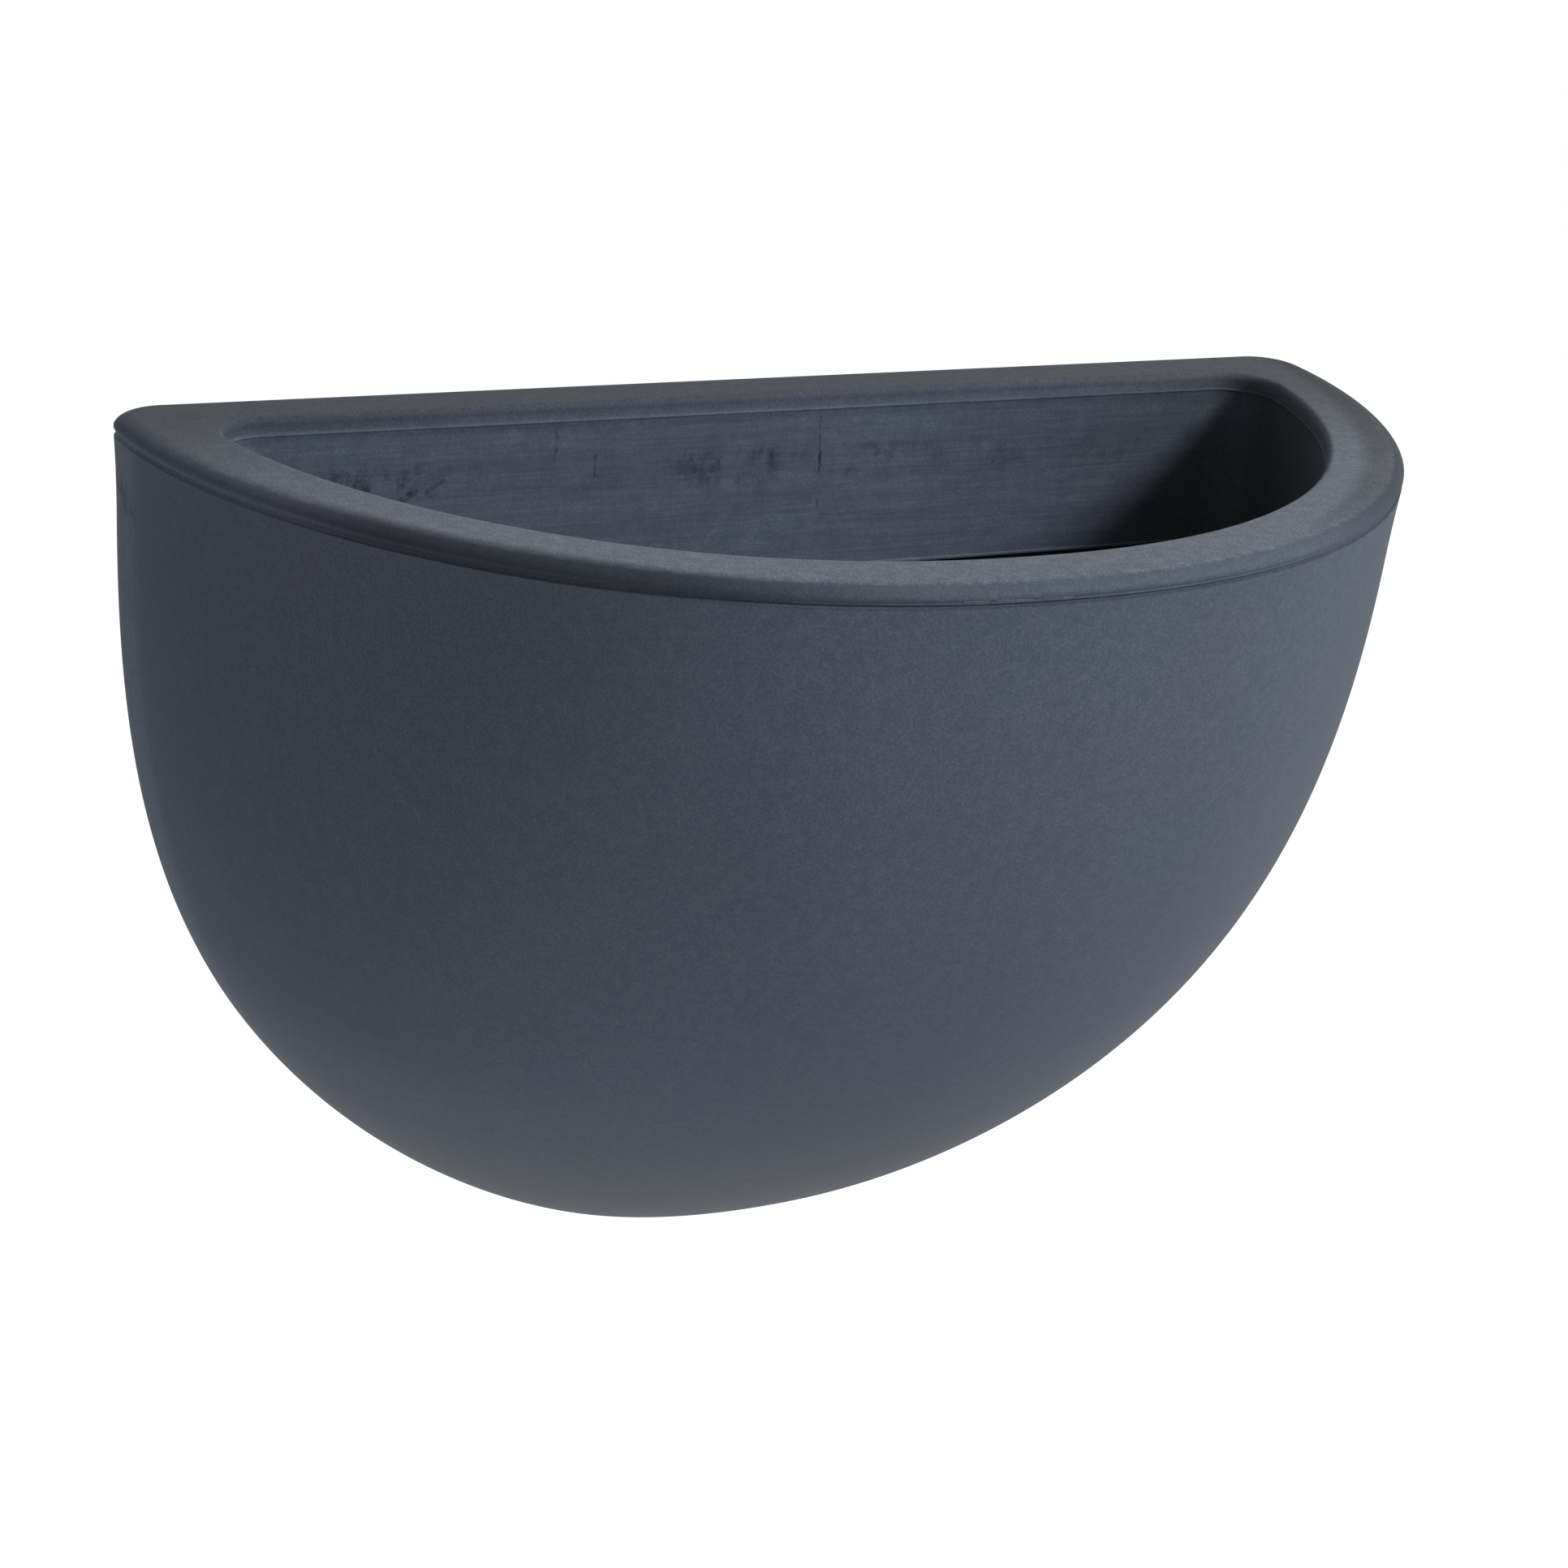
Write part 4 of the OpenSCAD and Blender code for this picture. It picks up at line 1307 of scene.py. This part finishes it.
def plug_recipe():
    """A push-in plug: rounded flange with a pry slot, and a hollow barrel with two ribs."""
    r = turned_recipe("Drain plug", PLUG_STEPS, PLUG_INPUTS)
    flange, thick, rounding = r["Flange"], r["Flange thickness"], r["Flange rounding"]
    rib, tall, barrel = r["Rib"], r["Rib height"], r["Barrel"]
    inner, end, soft = barrel - r["Barrel wall"], r["Barrel length"], 1 * MM

    def bands(up):
        sweep = up * QUARTER_TURN
        bulge = barrel + (rib - barrel) * (up * HALF_TURN).sin() ** 0.5
        return [
            (1, (flange - rounding) * up, thick * -1),
            (5, flange - rounding * (1 - sweep.sin()), rounding * (1 - sweep.cos()) - thick),
            (1, flange, (rounding - thick) * (1 - up)),
            (1, up.blend(flange, barrel), 0.0),
            (8, bulge, up * tall),
            (1, barrel, tall + up * tall),
            (8, bulge, tall * 2 + up * tall),
            (1, barrel, up.blend(tall * 3, end - soft)),
            (4, barrel - soft * (1 - sweep.cos()), end - soft * (1 - sweep.sin())),
            (1, up.blend(barrel - soft, inner), end),
            (1, inner, up.blend(end, r["Web"])),
            (1, inner * (1 - up), r["Web"]),
        ]

    slot = r.moved(r.cube(flange * 2.2, r["Pry slot width"], r["Pry slot depth"] * 2),
                   r.vector(0.0, 0.0, thick * -1))
    body = r.moved(r.carve(turned(r, bands), slot), r.vector(0.0, 0.0, r["Seat depth"]))
    return r.finished(at_drain(r, body))


def settle(piece, body, slot, *nodes):
    """The piece moves with its body and stands for its solids."""
    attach(piece, body)
    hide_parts(*nodes)


class PLANTER_OT_bowl(bpy.types.Operator):
    """Make the moulded bowl with its rolled rim, recess, slots and drain"""
    bl_idname = "planter.bowl"
    bl_label = "Bowl"

    def execute(self, context):
        scene = context.scene
        bowl, rim = scene.planter_bowl, scene.planter_rim
        piece = baked("half_bowl", bowl_recipe(), {
            **asked(bowl, BOWL_INPUTS), **asked(rim, RIM_INPUTS), **asked(bowl, COUNT_INPUTS),
            **asked(scene.planter_hanging, BACK_INPUTS), **asked(scene.planter_drain, DRAIN_INPUTS),
            "Mouth angle": mouth_angle(bowl, rim),
            "Material": SlatePlastic(scene.planter_finish, bowl, rim).made()})
        settle(piece, "planter", "moulded_slate", "planter_shell")
        return {"FINISHED"}


class PLANTER_OT_plates(bpy.types.Operator):
    """Make the two keyhole plates that carry the planter"""
    bl_idname = "planter.plates"
    bl_label = "Keyhole plates"

    def execute(self, context):
        edge = context.scene.planter_hanging.sheet_edge
        for side in ("left", "right"):
            node = "keyhole_plate_" + side
            piece = softened(node, "keyhole_" + side, edge, zinc_of(context))
            settle(piece, "planter", "galvanised", node)
        return {"FINISHED"}


class PLANTER_OT_rivets(bpy.types.Operator):
    """Make the eight blind rivets that hold the keyhole plates"""
    bl_idname = "planter.rivets"
    bl_label = "Rivets"

    def execute(self, context):
        piece = baked("blind_rivets", rivet_recipe(), {
            **asked(context.scene.planter_hanging, RIVET_INPUTS),
            "Skin": context.scene.planter_bowl.skin, "Material": zinc_of(context)})
        settle(piece, "planter", "galvanised", "plate_rivets")
        return {"FINISHED"}


class PLANTER_OT_rail(bpy.types.Operator):
    """Make the rail that is screwed to the wall"""
    bl_idname = "planter.rail"
    bl_label = "Wall rail"

    def execute(self, context):
        piece = softened("wall_rail", "rail_strip", context.scene.planter_hanging.sheet_edge,
                         zinc_of(context))
        settle(piece, "rail", "galvanised", "wall_rail")
        return {"FINISHED"}


class PLANTER_OT_studs(bpy.types.Operator):
    """Make the two headed studs that the planter hangs on"""
    bl_idname = "planter.studs"
    bl_label = "Studs"

    def execute(self, context):
        piece = baked("headed_studs", stud_recipe(), {
            **asked(context.scene.planter_hanging, STUD_INPUTS), "Material": zinc_of(context)})
        settle(piece, "rail", "galvanised", "rail_studs")
        return {"FINISHED"}


class PLANTER_OT_plug(bpy.types.Operator):
    """Make the rubber plug in the drain"""
    bl_idname = "planter.plug"
    bl_label = "Drain plug"

    def execute(self, context):
        piece = baked("push_in_plug", plug_recipe(), {
            **asked(context.scene.planter_drain, PLUG_INPUTS),
            "Material": plug_rubber(context.scene.planter_finish)})
        settle(piece, "plug", "plug_rubber", "drain_plug")
        return {"FINISHED"}


# Stage

def white_seen(wire, lit, strength):
    """White where the camera or a reflection sees it, and the plain light elsewhere."""
    path = wire.node("ShaderNodeLightPath", take="Is Camera Ray")
    seen = path.greatest(path.other("Is Glossy Ray")).greatest(
        path.other("Is Transmission Ray"))
    return seen.blend(lit, strength)


def towards(azimuth, elevation):
    """The direction that lies so far round from the front and so far up."""
    return Vector((math.sin(azimuth) * math.cos(elevation),
                   -math.cos(azimuth) * math.cos(elevation), math.sin(elevation)))


def lamp(stage, name):
    """A soft square lamp that faces the planter, with the settings of this name."""
    data = bpy.data.lights.new(name + " lamp", "AREA")
    data.size = getattr(stage, name + "_size")
    data.energy = getattr(stage, name)
    facing = towards(getattr(stage, name + "_azimuth"), getattr(stage, name + "_elevation"))
    holder = bpy.data.objects.new(name + " lamp", data)
    holder.location = Vector(LIT) + facing * getattr(stage, name + "_distance")
    holder.rotation_mode = "QUATERNION"
    holder.rotation_quaternion = facing.to_track_quat("Z", "Y")
    bpy.context.scene.collection.objects.link(holder)


class PLANTER_OT_stage(bpy.types.Operator):
    """Make the floor, the lamps, the surrounding light and the camera"""
    bl_idname = "planter.stage"
    bl_label = "Stage"

    def execute(self, context):
        scene, stage = context.scene, context.scene.planter_stage
        scene.view_settings.view_transform = "Standard"

        mesh = bpy.data.meshes.new("floor")
        far, low = FLOOR_HALF, -stage.floor_drop
        mesh.from_pydata([(-far, -far, low), (far, -far, low), (far, far, low), (-far, far, low)],
                         [], [(0, 1, 2, 3)])
        floor = bpy.data.objects.new("floor", mesh)
        scene.collection.objects.link(floor)
        material, shader, wire = new_material("pale floor")
        plug_in(wire, shader, {
            "Base Color": (*stage.floor, 1.0), "Roughness": 0.9, "Specular IOR Level": 0.1,
            "Emission Color": (1.0, 1.0, 1.0, 1.0),
            "Emission Strength": white_seen(wire, 0.0, stage.glow)})
        mesh.materials.append(material)
        floor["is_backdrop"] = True

        world = bpy.data.worlds.new("surroundings")
        world.use_nodes = True
        scene.world = world
        wire = Wire(world.node_tree)
        sky = next(n for n in world.node_tree.nodes if n.type == "BACKGROUND")
        sky.inputs["Color"].default_value = (1.0, 1.0, 1.0, 1.0)
        plug_in(wire, sky, {"Strength": white_seen(wire, stage.sky, 1.0)})

        for name in ("key", "fill"):
            lamp(stage, name)

        back = towards(stage.azimuth, stage.elevation)
        right = (-back).cross(Vector((0, 0, 1))).normalized()
        up = right.cross(-back)
        lean, rest = math.sin(stage.roll), math.cos(stage.roll)
        across, upward = rest * right + lean * up, rest * up - lean * right
        place = back * stage.distance + across * stage.shift_right + upward * stage.shift_up
        place.z -= stage.aim
        data = bpy.data.cameras.new("camera")
        data.sensor_width, data.lens = SENSOR, stage.lens
        data.clip_start, data.clip_end = NEAREST, FARTHEST
        camera = bpy.data.objects.new("camera", data)
        camera.matrix_world = Matrix.Translation(place) @ Matrix(
            (across, upward, back)).transposed().to_4x4()
        scene.collection.objects.link(camera)
        scene.camera = camera
        return {"FINISHED"}


OPERATORS = (PLANTER_OT_bowl, PLANTER_OT_plates, PLANTER_OT_rivets, PLANTER_OT_rail,
             PLANTER_OT_studs, PLANTER_OT_plug, PLANTER_OT_stage)


class PLANTER_PT_panel(bpy.types.Panel):
    """The planter's pieces and settings"""
    bl_label = "Half-round planter"
    bl_idname = "PLANTER_PT_panel"
    bl_space_type = "VIEW_3D"
    bl_region_type = "UI"
    bl_category = "Planter"

    def draw(self, context):
        for each in OPERATORS:
            self.layout.operator(each.bl_idname)
        for name, group in SETTINGS.items():
            box = self.layout.box()
            box.label(text=group.__doc__)
            for key in group.__annotations__:
                box.prop(getattr(context.scene, name), key)


def register():
    for group in SETTINGS.values():
        bpy.utils.register_class(group)
    for name, group in SETTINGS.items():
        setattr(bpy.types.Scene, name, bpy.props.PointerProperty(type=group))
    for each in (*OPERATORS, PLANTER_PT_panel):
        bpy.utils.register_class(each)


def unregister():
    for each in (PLANTER_PT_panel, *reversed(OPERATORS)):
        bpy.utils.unregister_class(each)
    for name, group in SETTINGS.items():
        delattr(bpy.types.Scene, name)
        bpy.utils.unregister_class(group)


def main():
    register()
    for make in (bpy.ops.planter.bowl, bpy.ops.planter.plates, bpy.ops.planter.rivets,
                 bpy.ops.planter.rail, bpy.ops.planter.studs, bpy.ops.planter.plug,
                 bpy.ops.planter.stage):
        make()
    boxes = {"cad": CAD_BOX, "visual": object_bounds()}
    {name: [list(corner) for corner in box] for name, box in boxes.items()}


if __name__ == "__main__":
    main()
